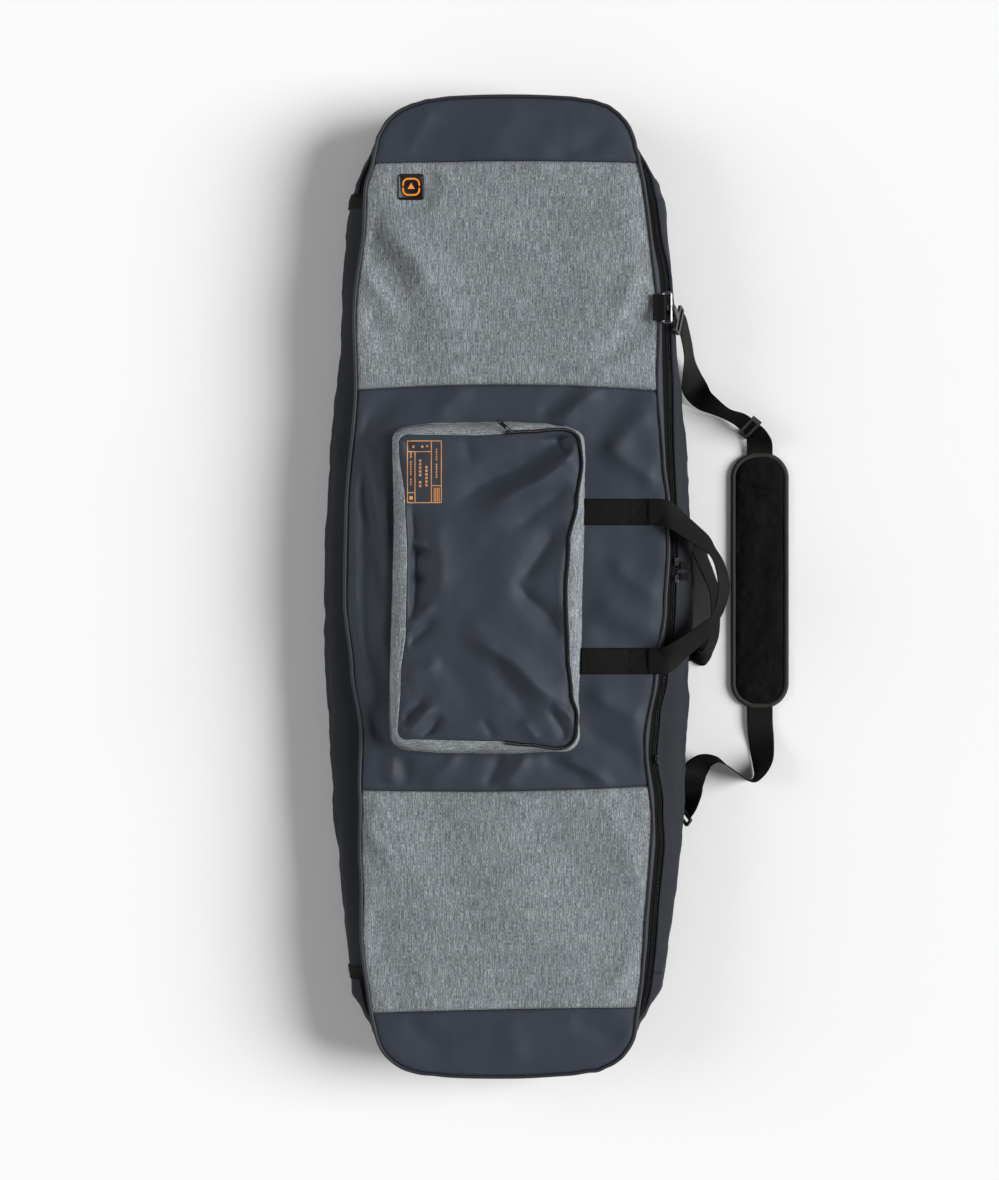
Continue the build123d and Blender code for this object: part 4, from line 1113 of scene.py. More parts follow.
# How far each edge lies outside the pattern: (place along the edge, millimetres).
LID_RIGHT = [
    (-0.23, 3), (-0.185, 5), (-0.154, -3), (-0.10, -8), (-0.01, -11), (0.063, -7), (0.122, 5), (0.177, 12),
    (0.22, 8)
]
LID_LEFT = [(-0.23, 6), (-0.205, 8), (-0.13, 4), (-0.06, -3), (0.045, -5), (0.12, -2), (0.20, 7), (0.22, 7)]
LID_TOP = [(-0.16, -2), (-0.05, -3), (0.03, 1), (0.07, 4), (0.10, 3)]
LID_BOTTOM = [(-0.16, -4), (-0.02, -1), (0.03, 3), (0.07, 8), (0.10, 4)]
BASE_RIGHT = [(-0.24, -8), (-0.18, -9), (-0.05, -4), (0.12, 0), (0.20, 0), (0.24, -3)]
BASE_LEFT = [(-0.24, 1), (-0.185, 3), (0.10, -3), (0.24, -1)]
BASE_TOP = [(-0.17, -9), (-0.10, -2), (0.0, 0), (0.05, -3), (0.08, -7), (0.11, -12)]
BASE_BOTTOM = [(-0.17, -6), (-0.09, -1), (0.0, 0), (0.05, -2), (0.11, -8)]
FLAT = [(-1, 0), (1, 0)]
SIDE_POINTS = (55, 70, 110, 70, 55)


def pocket_outline(low, high, radius, sways=(FLAT,) * 4, corner_points=26):
    """A rounded rectangle, anticlockwise from the middle of its right side, with its sides swayed."""
    (x0, y0), (x1, y1) = low[:2] + radius, high[:2] - radius
    middle = here = np.array([x1 + radius, (y0 + y1) / 2])
    points = []
    for k, centre in enumerate(((x1, y1), (x0, y1), (x0, y0), (x1, y0))):
        angles = np.radians(np.linspace(90 * k, 90 * k + 90, corner_points + 1))
        arc = np.array(centre) + radius * np.column_stack([np.cos(angles), np.sin(angles)])
        points += [np.linspace(here, arc[0], SIDE_POINTS[k], endpoint=False), arc[:-1]]
        here = arc[-1]
    points = np.concatenate([*points, np.linspace(here, middle, SIDE_POINTS[4], endpoint=False)])
    out = outward(points)
    facing = np.clip([out[:, 0], -out[:, 0], out[:, 1], -out[:, 1]], 0, 1) ** 2
    x, y = points.T
    push = sum(part * ease(place, sway) for part, place, sway in zip(facing, (y, y, x, x), sways))
    return points + out * (push * MM)[:, None], out


LID_RADIUS = 0.013
LID_FOLD_GAIN = 2.9
BASE_LINE, BASE_OUT = pocket_outline(
    POCKET_LOW, POCKET_HIGH, 0.024, (BASE_RIGHT, BASE_LEFT, BASE_TOP, BASE_BOTTOM)
)
LID_LINE, LID_OUT = pocket_outline(LID_LOW, LID_HIGH, LID_RADIUS, (LID_RIGHT, LID_LEFT, LID_TOP, LID_BOTTOM))
LID_FOLDS = [
    ((108, 192), (-34, 104), 14, 5.6), ((104, 226), (-76, 122), 18, -4.0), ((84, 140), (6, 84), 14, -2.2),
    ((78, 84), (14, 8), 15, -4.2), ((12, 4), (78, -66), 14, -4.4), ((88, 60), (84, -50), 10, 2.0),
    ((-54, -62), (70, -164), 15, 5.2), ((-20, -96), (30, -190), 16, -2.2),
    ((-146, 118), (-145, -56), 24, -5.6), ((-100, 96), (-98, -20), 13, 1.8),
    ((-150, 70), (-116, 56), 6, 2.4), ((-150, 52), (-112, 44), 5, -2.4), ((-150, 18), (-118, 6), 6, -1.8),
    ((-150, -60), (-106, -26), 8, 2.6), ((-150, -84), (-104, -52), 8, -2.6),
    ((-150, -128), (-100, -112), 12, 2.0), ((-150, -214), (-108, -172), 8, 2.8),
    ((-152, -194), (-116, -160), 7, -2.6), ((-128, -222), (-96, -188), 8, -2.4),
    ((84, -222), (62, -176), 8, -2.4), ((98, -196), (66, -166), 8, 2.4), ((40, -222), (20, -192), 8, 1.4),
    ((-60, 218), (-52, 176), 12, -1.4), ((-152, 210), (-126, 186), 8, -1.8),
    ((70, 218), (84, 190), 6, -2.2), ((100, 196), (76, 180), 6, 2.0), ((-20, -226), (-36, -190), 8, -1.6),
    ((-60, 40), (-20, -30), 30, -1.2), ((-90, -100), (-40, -190), 26, -1.4),
]


def lid_height(x, y):
    """The height of the pocket's front."""
    inside = distance_to(LID_LINE, x, y)
    z = LID_Z + (2.2 * smooth(inside, 0.0, 0.07) - 0.6 - 3.0 * np.exp(-inside / 0.0045)) * MM
    relief = 1.4 * MM * waves(x, y, 0.09, 81) * smooth(inside, 0.004, 0.04)
    relief += 0.4 * MM * waves(x, y, 0.024, 82, 2) * smooth(inside, 0.002, 0.02)
    relief += fold_sum(x, y, LID_FOLDS, LID_FOLD_GAIN) * smooth(inside, 0.0, 0.012)
    pucker = 0.9 * MM * waves(x, y, 0.014, 83, 2) * np.exp(-inside / 0.016) * smooth(inside, 0.0, 0.004)
    return z + relief + pucker


def lid_sheet():
    """The pocket's front: one cloth, ruled from the line down its middle out to its edge."""
    middle = (LID_LOW[:2] + LID_HIGH[:2]) / 2
    reach = (LID_HIGH[1] - LID_LOW[1]) / 2 - 0.075
    spine_y = np.clip(LID_LINE[:, 1], middle[1] - reach, middle[1] + reach)
    spine = np.round(np.column_stack([LID_LINE[:, 0] * 0 + middle[0], spine_y]), 5)
    t = np.linspace(0, 1, 66)[:, None, None] ** 1.15
    flat = LID_LINE[None] * (1 - t) + spine[None] * t
    z = lid_height(flat[..., 0], flat[..., 1])
    return face_up(weld(grid_object("pocket_lid_cloth", np.dstack([flat, z]), closed_columns=True, uv=flat)))


lid = lid_sheet()
LID_TREES = surface_of(lid)
thicken(lid, LIGHT_CLOTH)
dress(lid, "charcoal_fabric", None, "pocket_front_fixed", "pocket_front_flap")
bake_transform(lid)

POCKET_S = run_length(BASE_LINE)
on_pocket_zip = from_gap(np.flatnonzero(LID_LINE[:, 0] > FOLD_X))


def pocket_side():
    """The pocket's wall, from its seam on the front up to its zip."""
    base_z = lay_on(FRONT_TREES, at_height(BASE_LINE + BASE_OUT * 0.002, 0))[:, 2]
    rows = [at_height(BASE_LINE + BASE_OUT * 0.0022, base_z + 0.0003)]
    levels = np.linspace(0, 1, 26)
    for t in levels:
        lean, rise, arch = t**1.45, math.sin(math.pi / 2 * t) ** 0.9, math.sin(math.pi * t)
        puff = 3.2 * math.sin(math.pi * min(1, t * 1.02)) * (1 + 0.7 * waves(POCKET_S, 0, 0.10, 91))
        crumple = 1.1 * waves(POCKET_S, 0.03 * t, 0.05, 92) + 0.7 * waves(POCKET_S, 0.05 * t, 0.017, 93)
        flat = BASE_LINE * (1 - lean) + (LID_LINE + LID_OUT * 0.0004) * lean
        flat += (BASE_OUT * (1 - lean) + LID_OUT * lean) * ((puff + arch * crumple) * MM)[:, None]
        z = base_z * (1 - rise) + (LID_Z - 0.0030) * rise
        rows.append(at_height(flat, z + 0.5 * MM * arch * waves(POCKET_S, 0, 0.04, 94)))
    uv = cloth_map(np.array([-0.002, *levels * 0.042])[:, None], POCKET_S[None])
    return thicken(grid_object("pocket_gusset_cloth", rows, uv, closed_columns=True), LIGHT_CLOTH)


def along_pocket_zip(offset, z):
    """Points along the pocket's zip, at an offset out from the lid's edge."""
    return at_height((LID_LINE + LID_OUT * offset)[on_pocket_zip], LID_Z + z)


def pocket_tape():
    """The zip's tape under the lid's edge."""
    profile = ((-0.6, -2.2), (0.4, -1.0), (1.8, -0.6), (3.2, -1.1), (4.4, -2.6))
    rows = [along_pocket_zip(offset * MM, z * MM) for offset, z in profile]
    uv = cloth_map(np.linspace(0, 0.006, 5)[:, None], POCKET_S[on_pocket_zip][None])
    return thicken(face_up(grid_object("pocket_zip_tape", rows, uv)), 0.0008)


dress(pocket_side(), "heather_fabric", "front_flap", "pocket_gusset")
dress(pocket_tape(), "zip_tape", "front_flap")
pocket_teeth = teeth("pocket_zip_teeth", along_pocket_zip(0.0004, -0.0002), 1, 0.0018, 0.0030, 0.0016, 0.0011)
dress(pocket_teeth, "zip_coil", "front_flap", "pocket_zip_coil")


# ---- Print and badge --------------------------------------------------------------------------------
def inked(name, rectangles, trees, lift, cell=0.0012):
    """Thin printed bars on the cloth under them; each is its middle and its size: (x, y, width, length)."""
    points, faces = [], []
    for x, y, width, length in rectangles:
        nx, ny = max(2, int(width / cell) + 1), max(2, int(length / cell) + 1)
        gx, gy = np.meshgrid(
            np.linspace(x - width / 2, x + width / 2, nx), np.linspace(y - length / 2, y + length / 2, ny)
        )
        start = len(points)
        points += list(np.column_stack([gx.ravel(), gy.ravel(), np.zeros(nx * ny)]))
        faces += [tuple(f) for f in grid_faces(ny, nx, start=start)]
    laid = lay_on(trees, points, lift, LID_Z)
    return face_up(new_object(name, laid, faces, laid[:, :2]))


px, py = sum(box("pocket_print"))[:2] / 2
LINE = 0.0013
bars = [
    (px, py + 0.045 - LINE / 2, 0.050, LINE), (px, py - 0.045 + LINE / 2, 0.050, LINE),
    (px - 0.025 + LINE / 2, py, LINE, 0.090), (px + 0.025 - LINE / 2, py, LINE, 0.090),
    (px + 0.010, py, LINE, 0.088), (px - 0.0135, py - 0.008, LINE, 0.073),
    (px - 0.007, py + 0.029, 0.034, LINE), (px + 0.0175, py - 0.020, 0.014, LINE),
    (px - 0.019, py - 0.030, 0.010, LINE),
]
# Plain bars stand in for the words, in columns that run along the bag.
for row, (x, y, width, length) in enumerate([
    (px - 0.006, py + 0.000, 0.0034, 0.046), (px + 0.003, py - 0.004, 0.0034, 0.036),
    (px - 0.0195, py + 0.006, 0.0018, 0.052), (px + 0.0175, py + 0.012, 0.0020, 0.050),
    (px - 0.003, py + 0.037, 0.0032, 0.007), (px - 0.016, py + 0.037, 0.0032, 0.007),
    (px + 0.004, py + 0.037, 0.0030, 0.004),
]):
    pitch = 0.0052 if width > 0.003 else 0.0036
    count = max(1, int(length / pitch))
    for k in range(count):
        if (k * 5 + row) % 7 != 3 or count < 3:
            bars.append((x, y - length / 2 + (k + 0.5) * pitch, width, pitch * 0.66))
for k in range(4):
    bars.append((px + 0.0175 - 0.0035 + k * 0.0024, py - 0.033, 0.0012, 0.020))
bars.append((px - 0.019, py - 0.0375, 0.0048, 0.0048))
ink = inked("pocket_print_ink", bars, LID_TREES, 0.00022)
dress(ink, "print_copper", "front_flap", "pocket_print")


def rounded_line(low, high, radius, shortest):
    """A rounded rectangle and its normals, without the points that lie closer together than shortest."""
    line, out = pocket_outline(low, high, radius, corner_points=8)
    keep = np.concatenate([[True], np.hypot(*np.diff(line, axis=0).T) > shortest])
    return line[keep], out[keep]


def rounded_plate(name, low, high, radius, bevel, dish=0.0):
    """A moulded plate with a rounded outline and a bevelled edge."""
    outline, out = rounded_line(low, high, radius, 0.0004)
    profile = (
        (0, low[2]), (0, high[2] - bevel), (0.3 * bevel, high[2] - 0.3 * bevel), (bevel, high[2]),
        (2.5 * bevel, high[2]), (3.2 * bevel, high[2] - dish),
    )
    points = np.concatenate([at_height(outline - out * inset, z) for inset, z in profile])
    return face_out(new_object(name, points, capped(len(profile), len(outline)), points[:, :2]))


badge_low, badge_high = box("badge")
badge_low[2] -= 0.0012
badge = rounded_plate("badge_plate", badge_low, badge_high, 0.005, 0.0007, 0.0005)
dress(badge, "pull_rubber", "front_flap", "badge")

def keep_cad(node, slot):
    """Shows a CAD piece in its own shape with its material."""
    piece = frame["nodes"][node]
    piece.data.materials.clear()
    piece.data.materials.append(MATERIALS[slot])
    return piece


keep_cad("badge_mark", "badge_orange")


# ---- Handles ----------------------------------------------------------------------------------------
def points_mm(stations):
    """Stations written in millimetres, in metres."""
    return [(np.array(p, float) * MM, np.array(w, float)) for p, w in stations]


def both_halves(half):
    """A loop's stations from those of its upper half."""
    return half + [((x, -y, z), (u, -v, w)) for (x, y, z), (u, v, w) in reversed(half[:-1])]


loop_z = 1000 * (FRONT_Z + 0.0018)
front_loop = both_halves([
    ((203.0, 108, loop_z + 0.9), (0, 1, 0)), ((222, 107.6, loop_z + 3.2), (0, 1, 0)),
    ((233, 103, loop_z + 4.2), (0.26, 0.92, -0.3)), ((246, 93.5, loop_z + 3.6), (0.46, 0.68, -0.57)),
    ((268, 77, loop_z + 0.4), (0.45, 0.54, -0.71)), ((286, 63, loop_z - 4.0), (0.40, 0.42, -0.82)),
    ((296, 51, loop_z - 7.4), (0.30, 0.20, -0.93)), ((307, 30, loop_z - 11.4), (0.40, 0.13, -0.91)),
    ((313, 0, loop_z - 13.0), (0.50, 0, -0.87)),
])
loop = strap_object("front_loop", points_mm(front_loop), thickness=0.0026, per_span=9, cup=0.0008)
ANCHOR_LOW, ANCHOR_HIGH = box("front_handle_anchors")
ANCHOR_Y = ANCHOR_HIGH[1] - WEB / 2


def front_anchor(sign):
    """Webbing sewn down on the front, under one end of the front handle's loop."""
    xs = np.linspace(ANCHOR_LOW[0] - 0.004, ANCHOR_HIGH[0] + 0.0003, 44)
    across = np.linspace(-WEB / 2, WEB / 2, 17)
    gx, gy = np.meshgrid(xs, sign * ANCHOR_Y + across, indexing="ij")
    laid = lay_on(FRONT_TREES, np.column_stack([gx.ravel(), gy.ravel(), 0 * gx.ravel()]), 0.0024)
    laid = laid.reshape(len(xs), len(across), 3)
    laid[..., 2] = (
        np.maximum(laid[..., 2], FRONT_Z + 0.0012) - 0.0007 * (np.abs(across) / (WEB / 2))[None] ** 8
    )
    laid[..., 2] += 0.0007 * smooth(xs, ANCHOR_HIGH[0] - 0.02, ANCHOR_HIGH[0])[:, None]
    uv = np.stack([gy - sign * ANCHOR_Y, gx], 2)
    return thicken(face_up(grid_object(f"anchor_{sign}", laid, uv)), 0.0022)


anchors = join("front_anchors", [front_anchor(sign) for sign in (1, -1)])
handle_trees = surface_of(anchors)
handle = join("front_handle_webbing", [loop, anchors])
dress(handle, "webbing", None, "front_handle_anchors", "front_handle_loop")
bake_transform(handle)


def box_stitch(name, trees, x0, x1, mid_y, half, cross=True):
    """A sewn box, with an X in it, holding webbing down."""
    low, high = mid_y - half, mid_y + half
    corners = [(x0, low), (x1, low), (x1, high), (x0, high), (x0, low)]
    if cross:
        corners += [(x1, high), (x1, low), (x0, high)]
    path = [np.array(corners[0])]
    for start, end in zip(corners, corners[1:]):
        steps = max(2, int(math.dist(start, end) / 0.002))
        path += [np.array(start) + (np.array(end) - np.array(start)) * k / steps for k in range(1, steps + 1)]
    laid = lay_on(trees, at_height(path, 0))
    return dress(stitches(name, laid, pitch=0.0030, length=0.0023, radius=0.00032), "webbing", "front_flap")


for label, sign in (("upper", 1), ("lower", -1)):
    mid_y = sign * ANCHOR_Y
    box_stitch(f"front_stitch_{label}", handle_trees, 0.176, 0.2000, mid_y, 0.0155)
    box_stitch(f"pocket_stitch_{label}", handle_trees, 0.1125, 0.1165, mid_y, 0.0165, cross=False)

rear_z = 1.9
rear_loop = [
    ((275.5, 68, rear_z + 0.4), (0, 1, 0)), ((278.5, 67, rear_z + 1.6), (0.1, 1, 0)),
    ((280, 58, rear_z + 9.0), (0.40, 0.50, -0.75)), ((284, 44, rear_z + 15.0), (0.46, 0.25, -0.85)),
    ((294, 20, rear_z + 18.0), (0.46, 0.15, -0.87)), ((304, -10, rear_z + 19.0), (0.45, 0, -0.89)),
    ((305, -44, rear_z + 19.0), (0.40, -0.1, -0.91)), ((302, -74, rear_z + 18.6), (0.38, -0.2, -0.90)),
    ((293, -96, rear_z + 17.0), (0.20, -0.42, -0.88)), ((284, -101, rear_z + 13.0), (0.0, -0.66, -0.75)),
    ((278, -96, rear_z + 4.0), (0, -0.97, -0.24)), ((275.5, -90, rear_z + 0.4), (0, -1, 0)),
]
rear_handle = strap_object(
    "rear_handle_webbing", points_mm(rear_loop), thickness=0.0026, per_span=14, floor=0.0006
)
dress(rear_handle, "webbing", "rear_handle", "rear_handle_loop")
REAR_X = 1000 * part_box("rear_handle_anchors")[0][0]


def rear_anchor(sign, end_y):
    """Webbing from under the back out to one end of the rear handle's loop."""
    route = (
        (REAR_X, 108, 0), (180, 108, 0), (226, 108, 0), (243, 66 + 0.4 * end_y, -0.2),
        (260, 12 + 0.9 * end_y, -0.1), (273.4, end_y, 0),
    )
    stations = points_mm([((x, sign * y, 1.6), (sign * slant, 1, 0)) for x, y, slant in route])
    return strap_object(f"rear_anchor_{sign}", stations, thickness=0.0024, per_span=8)


rear_anchors = join("rear_anchor_webbing", [rear_anchor(1, 68), rear_anchor(-1, 90)])
dress(rear_anchors, "webbing", "base", "rear_handle_anchors")


# ---- Rings and their tabs ---------------------------------------------------------------------------
WIRE = 0.0016


def wire_ring(name, node):
    """A rectangular ring bent from round wire."""
    low, high = box(node)
    line, _ = rounded_line(low + WIRE, high - WIRE, 0.0022, 0.0003)
    return ring_tube(name, at_height(line, (low[2] + high[2]) / 2), WIRE)


upper_ring = wire_ring("upper_ring_wire", "upper_strap_ring")
dress(upper_ring, "slider_metal", "upper_ring", "upper_strap_ring")
lower_ring = wire_ring("lower_ring_wire", "lower_strap_ring")
dress(lower_ring, "slider_metal", "base", "lower_strap_ring")


def loop_tab(name, node, legs, bar_x, bar_z):
    """Webbing that passes round a ring's inner bar and is sewn down beside it."""
    low, high = box(node)
    mid_y = (low[1] + high[1]) / 2
    radius, across = 0.0031, (0, 1, 0)
    stations = [((x, mid_y, bar_z + z), across) for x, z in legs]
    for a in np.radians(np.linspace(100, -100, 9)):
        stations.append(((bar_x + radius * math.cos(a), mid_y, bar_z + radius * math.sin(a)), across))
    stations += [((x, mid_y, bar_z - z - 0.0002), across) for x, z in reversed(legs)]
    return strap_object(name, stations, thickness=0.0017, per_span=6)


ring_hinge = joint("upper_ring_swing")["pos_m"]
upper_legs = [
    (ring_hinge[0] - 0.0150, 0.0012), (ring_hinge[0] - 0.0080, 0.0013), (ring_hinge[0] - 0.0030, 0.0024)
]
upper_tab = loop_tab("upper_ring_tab_webbing", "upper_strap_tab", upper_legs, ring_hinge[0], ring_hinge[2])
dress(upper_tab, "webbing", "front_flap", "upper_strap_tab")
lower_low, lower_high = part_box("lower_strap_ring")
lower_bar = (lower_low[0] + WIRE, (lower_low[2] + lower_high[2]) / 2)
lower_legs = [
    (lower_bar[0] - 0.0060, 0.0012), (lower_bar[0] - 0.0042, 0.0013), (lower_bar[0] - 0.0020, 0.0026)
]
lower_tab = loop_tab("lower_ring_tab_webbing", "lower_strap_tab", lower_legs, *lower_bar)
dress(lower_tab, "webbing", "base", "lower_strap_tab")


# ---- Shoulder strap ---------------------------------------------------------------------------------
PAD_ROUNDING = 0.44  # the pad's corner radius as a part of its width


def hook_run(bar, way, side):
    """The webbing's last two stations beside a hook, which lies along a way out from its ring's bar."""
    way = np.array(way, float) / np.linalg.norm(way)
    return [(np.array(bar) + way * reach, np.array(side, float)) for reach in (0.0385, 0.0470)]


upper_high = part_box("upper_strap_ring")[1]
UPPER_BAR = (upper_high[0] - WIRE, ring_hinge[1], ring_hinge[2])
LOWER_BAR = (lower_high[0] - WIRE, (lower_low[1] + lower_high[1]) / 2, lower_bar[1])
UPPER_WAY, UPPER_SIDE = (0.42, -0.55, -0.72), (0.22, 0.78, -0.58)
LOWER_WAY, LOWER_SIDE = (0.50, 0.75, 0.43), (-0.49, 0.66, -0.57)
upper_strap = hook_run(UPPER_BAR, UPPER_WAY, UPPER_SIDE) + points_mm([
    ((263, 348, 45), (0.3, 0.7, -0.65)), ((266, 321, 30), (0.5, 0.6, -0.6)),
    ((272, 298, 18), (0.75, 0.6, -0.1)), ((284, 279, 15), (0.65, 0.55, 0.5)),
    ((302, 266, 18), (0.35, 0.45, 0.82)), ((322, 254, 19.4), (0.2, 0.3, 0.93)),
    ((343, 244.4, 20.4), (0.3, 0.4, 0.86)), ((355.5, 234.2, 19.9), (0.32, 0.42, 0.84)),
    ((367, 224.8, 19.4), (0.35, 0.45, 0.82)), ((370.5, 212, 11), (0.9, 0.25, 0.35)),
    ((371.5, 199, 5.6), (1, 0, 0)), ((371.5, 190, 4.8), (1, 0, 0)),
])
lower_strap = points_mm([
    ((371.5, -172, 4.8), (1, 0, 0)), ((371.5, -181.6, 5.6), (1, 0, 0)), ((372, -205, 5), (1, 0, 0)),
    ((374, -233, 7), (0.93, 0, 0.3)), ((375, -257, 13), (0.7, -0.2, 0.7)),
    ((370, -276, 18.5), (0.25, -0.15, 0.95)), ((356, -286, 19.6), (0, 0, 1)),
    ((324, -265, 19.6), (0, 0, 1)), ((307, -255, 18.7), (-0.2, 0.3, 0.93)),
    ((290, -257, 15), (-0.5, 0.5, 0.7)), ((277, -270, 12), (-0.8, 0.5, 0.25)),
    ((269, -288, 18), (-0.75, 0.5, -0.3)), ((266, -306, 26), (-0.6, 0.6, -0.45)),
]) + hook_run(LOWER_BAR, LOWER_WAY, LOWER_SIDE)[::-1]
upper_web = strap_object("strap_upper_webbing", upper_strap, thickness=0.0017, per_span=14)
dress(upper_web, "webbing", "base", "strap_webbing_upper")
lower_web = strap_object("strap_lower_webbing", lower_strap, thickness=0.0017, per_span=14)
dress(lower_web, "webbing", "base", "strap_webbing_lower")


def stadium(low, high, count=180):
    """Points round the pad's outline, anticlockwise from the middle of its lower end, and their normals."""
    line, _ = pocket_outline(low, high, (high[0] - low[0]) * PAD_ROUNDING, corner_points=60)
    middle = (low[0] + high[0]) / 2
    right = line[line[:, 0] > middle]
    right = right[np.argsort(np.arctan2(right[:, 1] - (low[1] + high[1]) / 2, right[:, 0] - middle))]
    right = np.concatenate([[(middle, low[1])], right, [(middle, high[1])]])
    s = run_length(right)
    places = np.linspace(0, s[-1], count)
    half = along_path(right, s, places)
    points = np.concatenate([half, half[-2:0:-1] * (-1, 1) + (2 * middle, 0)])
    return points, outward(points), np.concatenate([places, 2 * s[-1] - places[-2:0:-1]])


PAD_CREASES = [
    ((338, 152), (398, 138), 3.2, -2.6), ((340, 160), (392, 148), 4.0, 1.2),
    ((350, 182), (392, 176), 3.6, -1.2), ((404, 40), (360, 18), 5.0, -1.4),
    ((338, -20), (384, -34), 6.0, -1.2), ((340, 92), (372, 84), 5.0, -0.9),
    ((404, -88), (356, -110), 5.0, -1.3), ((338, -138), (392, -150), 4.0, -1.6),
    ((352, -166), (396, -158), 3.4, -1.5), ((372, 70), (380, -60), 9.0, -0.8),
    ((358, -30), (352, -130), 8.0, -0.7), ((384, 130), (378, 60), 7.0, -0.8),
]


# The binding's section, from the pad's top face round to its underside: (inset, height), in millimetres.
EDGE_PROFILE = (
    (7.0, 5.2), (6.2, 6.6), (4.5, 7.4), (2.8, 7.2), (1.2, 6.2), (0.3, 4.7), (0, 3.4), (0.5, 1.8), (1.8, 0.7),
    (4.0, 0.4), (6.2, 0.6),
)


def pad_body():
    """The strap's plush pad: crowned on top, flat below, with creases across it."""
    low, high = box("strap_pad")
    line, _, _ = stadium(low - [0.0012, 0.0012, 0], high + [0.0012, 0.0012, 0])
    (centre_x, mid_y), half = (low + high)[:2] / 2, (high[1] - low[1]) / 2 - 0.036
    spine = np.column_stack([0 * line[:, 0] + centre_x, np.clip(line[:, 1], mid_y - half, mid_y + half)])
    base_z, top_rise = 0.0012, high[2] - 0.0039
    rows = [at_height(line * (1 - t) + spine * t, base_z) for t in np.linspace(1, 0, 12)]
    for t in np.linspace(0, 1, 40) ** 1.3:
        x, y = (line * (1 - t) + spine * t).T
        inside = t * 0.036
        crown = top_rise * (1 - np.exp(-inside / 0.0075)) + 0.0030
        bumps = (0.9 * waves(x, y, 0.028, 101, 3) + 0.5 * waves(x, y, 0.011, 102, 2)) * MM
        bumps += fold_sum(x, y, PAD_CREASES)
        rows.append(np.column_stack([x, y, base_z + crown + bumps * smooth(inside, 0.0, 0.009)]))
    grid = np.array(rows)
    return face_out(weld(grid_object("strap_pad_plush", grid, grid[..., :2], closed_columns=True)))


def pad_edge():
    """The binding tape folded round the pad's edge, with a slight ripple."""
    line, out, places = stadium(*box("strap_pad_binding"))
    ripple = 0.25 * MM * waves(places, 0, 0.012, 104, 2)
    rows = []
    for inset, z in np.array(EDGE_PROFILE) * MM:
        rows.append(at_height(line - out * (inset + 0.4 * ripple)[:, None], z + ripple * (z > 0.002)))
    uv = cloth_map(np.linspace(0, 0.018, len(rows))[:, None], places[None])
    return thicken(face_up(grid_object("strap_pad_edge", rows, uv, closed_columns=True)), 0.0008)


pad = pad_body()
dress(pad, "pad_plush", "base", "strap_pad")

dress(pad_edge(), "binding", "base", "strap_pad_binding")


# ---- Hard parts that keep their CAD shape --------------------------------------------------------------
def soften(piece, width):
    """Rounds a CAD piece's edges."""
    merge = piece.modifiers.new("weld", "WELD")
    merge.merge_threshold = WELD_DISTANCE
    soft = piece.modifiers.new("edges", "BEVEL")
    soft.width = width
    soft.segments = 2
    soft.limit_method = "ANGLE"
    soft.angle_limit = math.radians(35)
    soft.harden_normals = True


for node in ("upper_strap_hook", "lower_strap_hook", "strap_adjuster"):
    soften(keep_cad(node, "moulded_plastic"), 0.0004)
for node in ("upper_zip_slider", "lower_zip_slider", "pocket_zip_slider"):
    soften(keep_cad(node, "slider_metal"), 0.0002)
for node in ("upper_zip_pull", "lower_zip_pull", "pocket_zip_pull"):
    soften(keep_cad(node, "pull_rubber"), 0.0002)


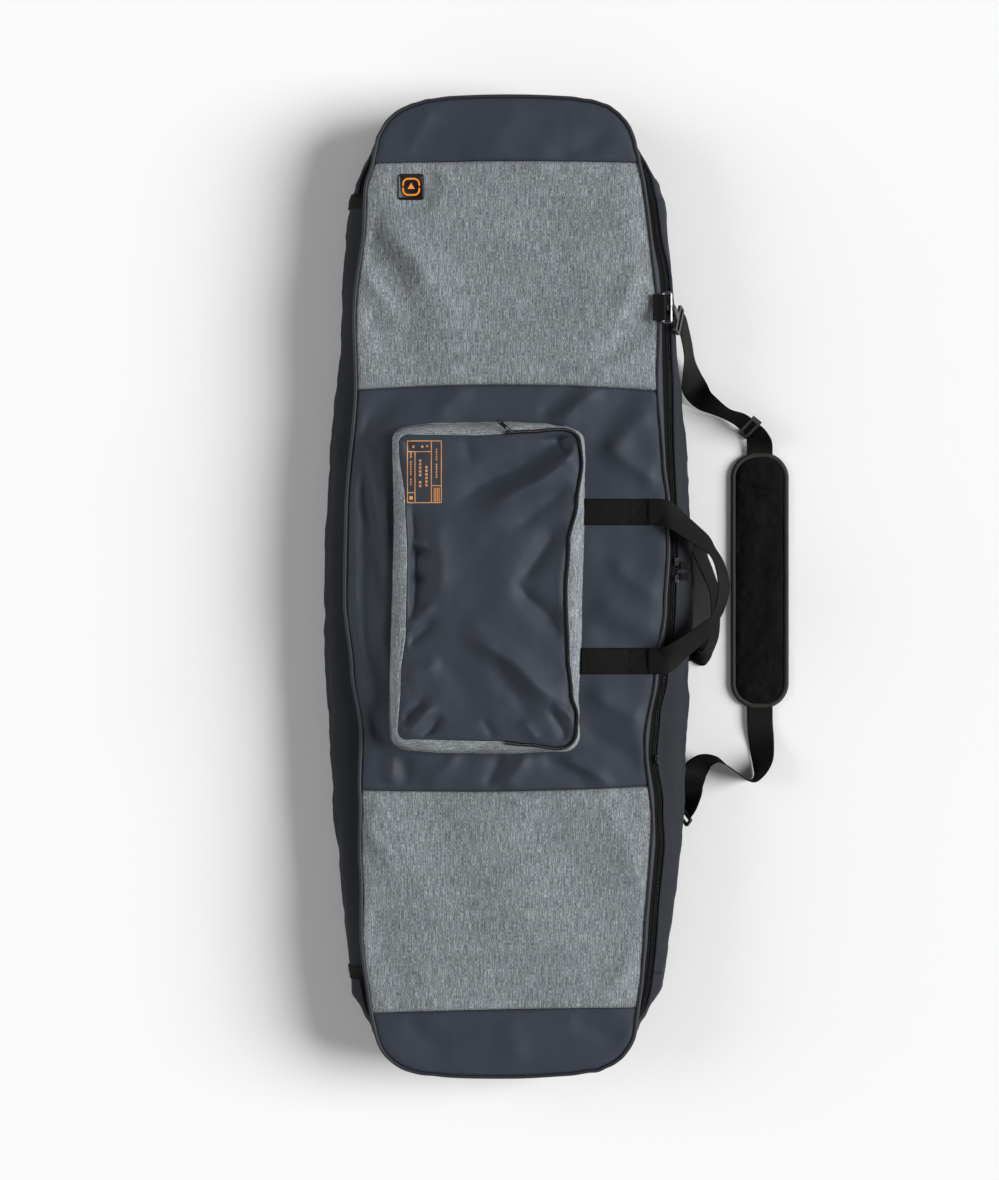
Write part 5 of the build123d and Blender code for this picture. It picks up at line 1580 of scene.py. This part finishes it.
# ---- Seams: rows of stitches ----------------------------------------------------------------------------
for label, seam in zip(("bottom", "lower", "upper", "top"), SEAMS):
    offset = 0.0052 * np.sign(seam)
    reach = np.linspace(front_edge(seam, -1) + 0.004, front_edge(seam, 1) - 0.004, 320)
    line = np.column_stack([reach, seam + offset + seam_bow(reach, seam), 0 * reach])
    cloth_slot = "charcoal_fabric" if abs(seam) > 0.5 else "heather_fabric"
    laid = lay_on(FRONT_TREES, line)
    row = stitches(f"seam_stitch_{label}", laid, pitch=0.0034, length=0.0025, radius=0.00028)
    dress(row, cloth_slot, "front_flap")


# ---- Floor, light and camera ------------------------------------------------------------------------------
FLOOR_REACH, FLOOR_Z = 14.0, -0.0004
VIEW_HEIGHT, CAMERA_AT = 1.711, 4.5


def make_floor():
    """A pale floor for the bag to lie on."""
    mesh = bpy.data.meshes.new("floor")
    corners = [(x * FLOOR_REACH, y * FLOOR_REACH, FLOOR_Z) for x, y in ((-1, -1), (1, -1), (1, 1), (-1, 1))]
    mesh.from_pydata(corners, [], [(0, 1, 2, 3)])
    floor = in_scene("floor", mesh)
    pale = Paint("pale_floor").finish((0.86, 0.86, 0.86, 1), Roughness=0.9, Specular_IOR_Level=0.1)
    floor.data.materials.append(pale)


def soft_sun(name, bearing, elevation, strength, spread):
    """A distant soft box: bearing is anticlockwise from +X, and all angles are in degrees."""
    light = bpy.data.lights.new(name, "SUN")
    light.energy = strength
    light.angle = math.radians(spread)
    lamp = in_scene(name, light)
    b, e = math.radians(bearing), math.radians(elevation)
    place = Vector((math.cos(b) * math.cos(e), math.sin(b) * math.cos(e), math.sin(e)))
    lamp.location = place * 5
    lamp.rotation_euler = (-place).to_track_quat("-Z", "Y").to_euler()


def make_world():
    """An even white surround."""
    world = bpy.data.worlds.new("studio")
    world.use_nodes = True
    background = world.node_tree.nodes["Background"]
    background.inputs["Color"].default_value = (1, 1, 1, 1)
    background.inputs["Strength"].default_value = 0.13
    bpy.context.scene.world = world
    bpy.context.scene.view_settings.view_transform = "Standard"


def make_camera():
    """A camera straight above the bag."""
    eye = bpy.data.cameras.new("camera")
    eye.sensor_width = 36
    eye.lens = 36 * CAMERA_AT / VIEW_HEIGHT
    camera = in_scene("camera", eye)
    camera.location = (-0.013, -0.005, CAMERA_AT + 0.09)
    bpy.context.scene.camera = camera


make_floor()
soft_sun("key", 2, 30, 4.75, 34)
soft_sun("rim", 172, 22, 1.4, 40)
soft_sun("fill", 235, 44, 0.3, 60)
make_world()
make_camera()
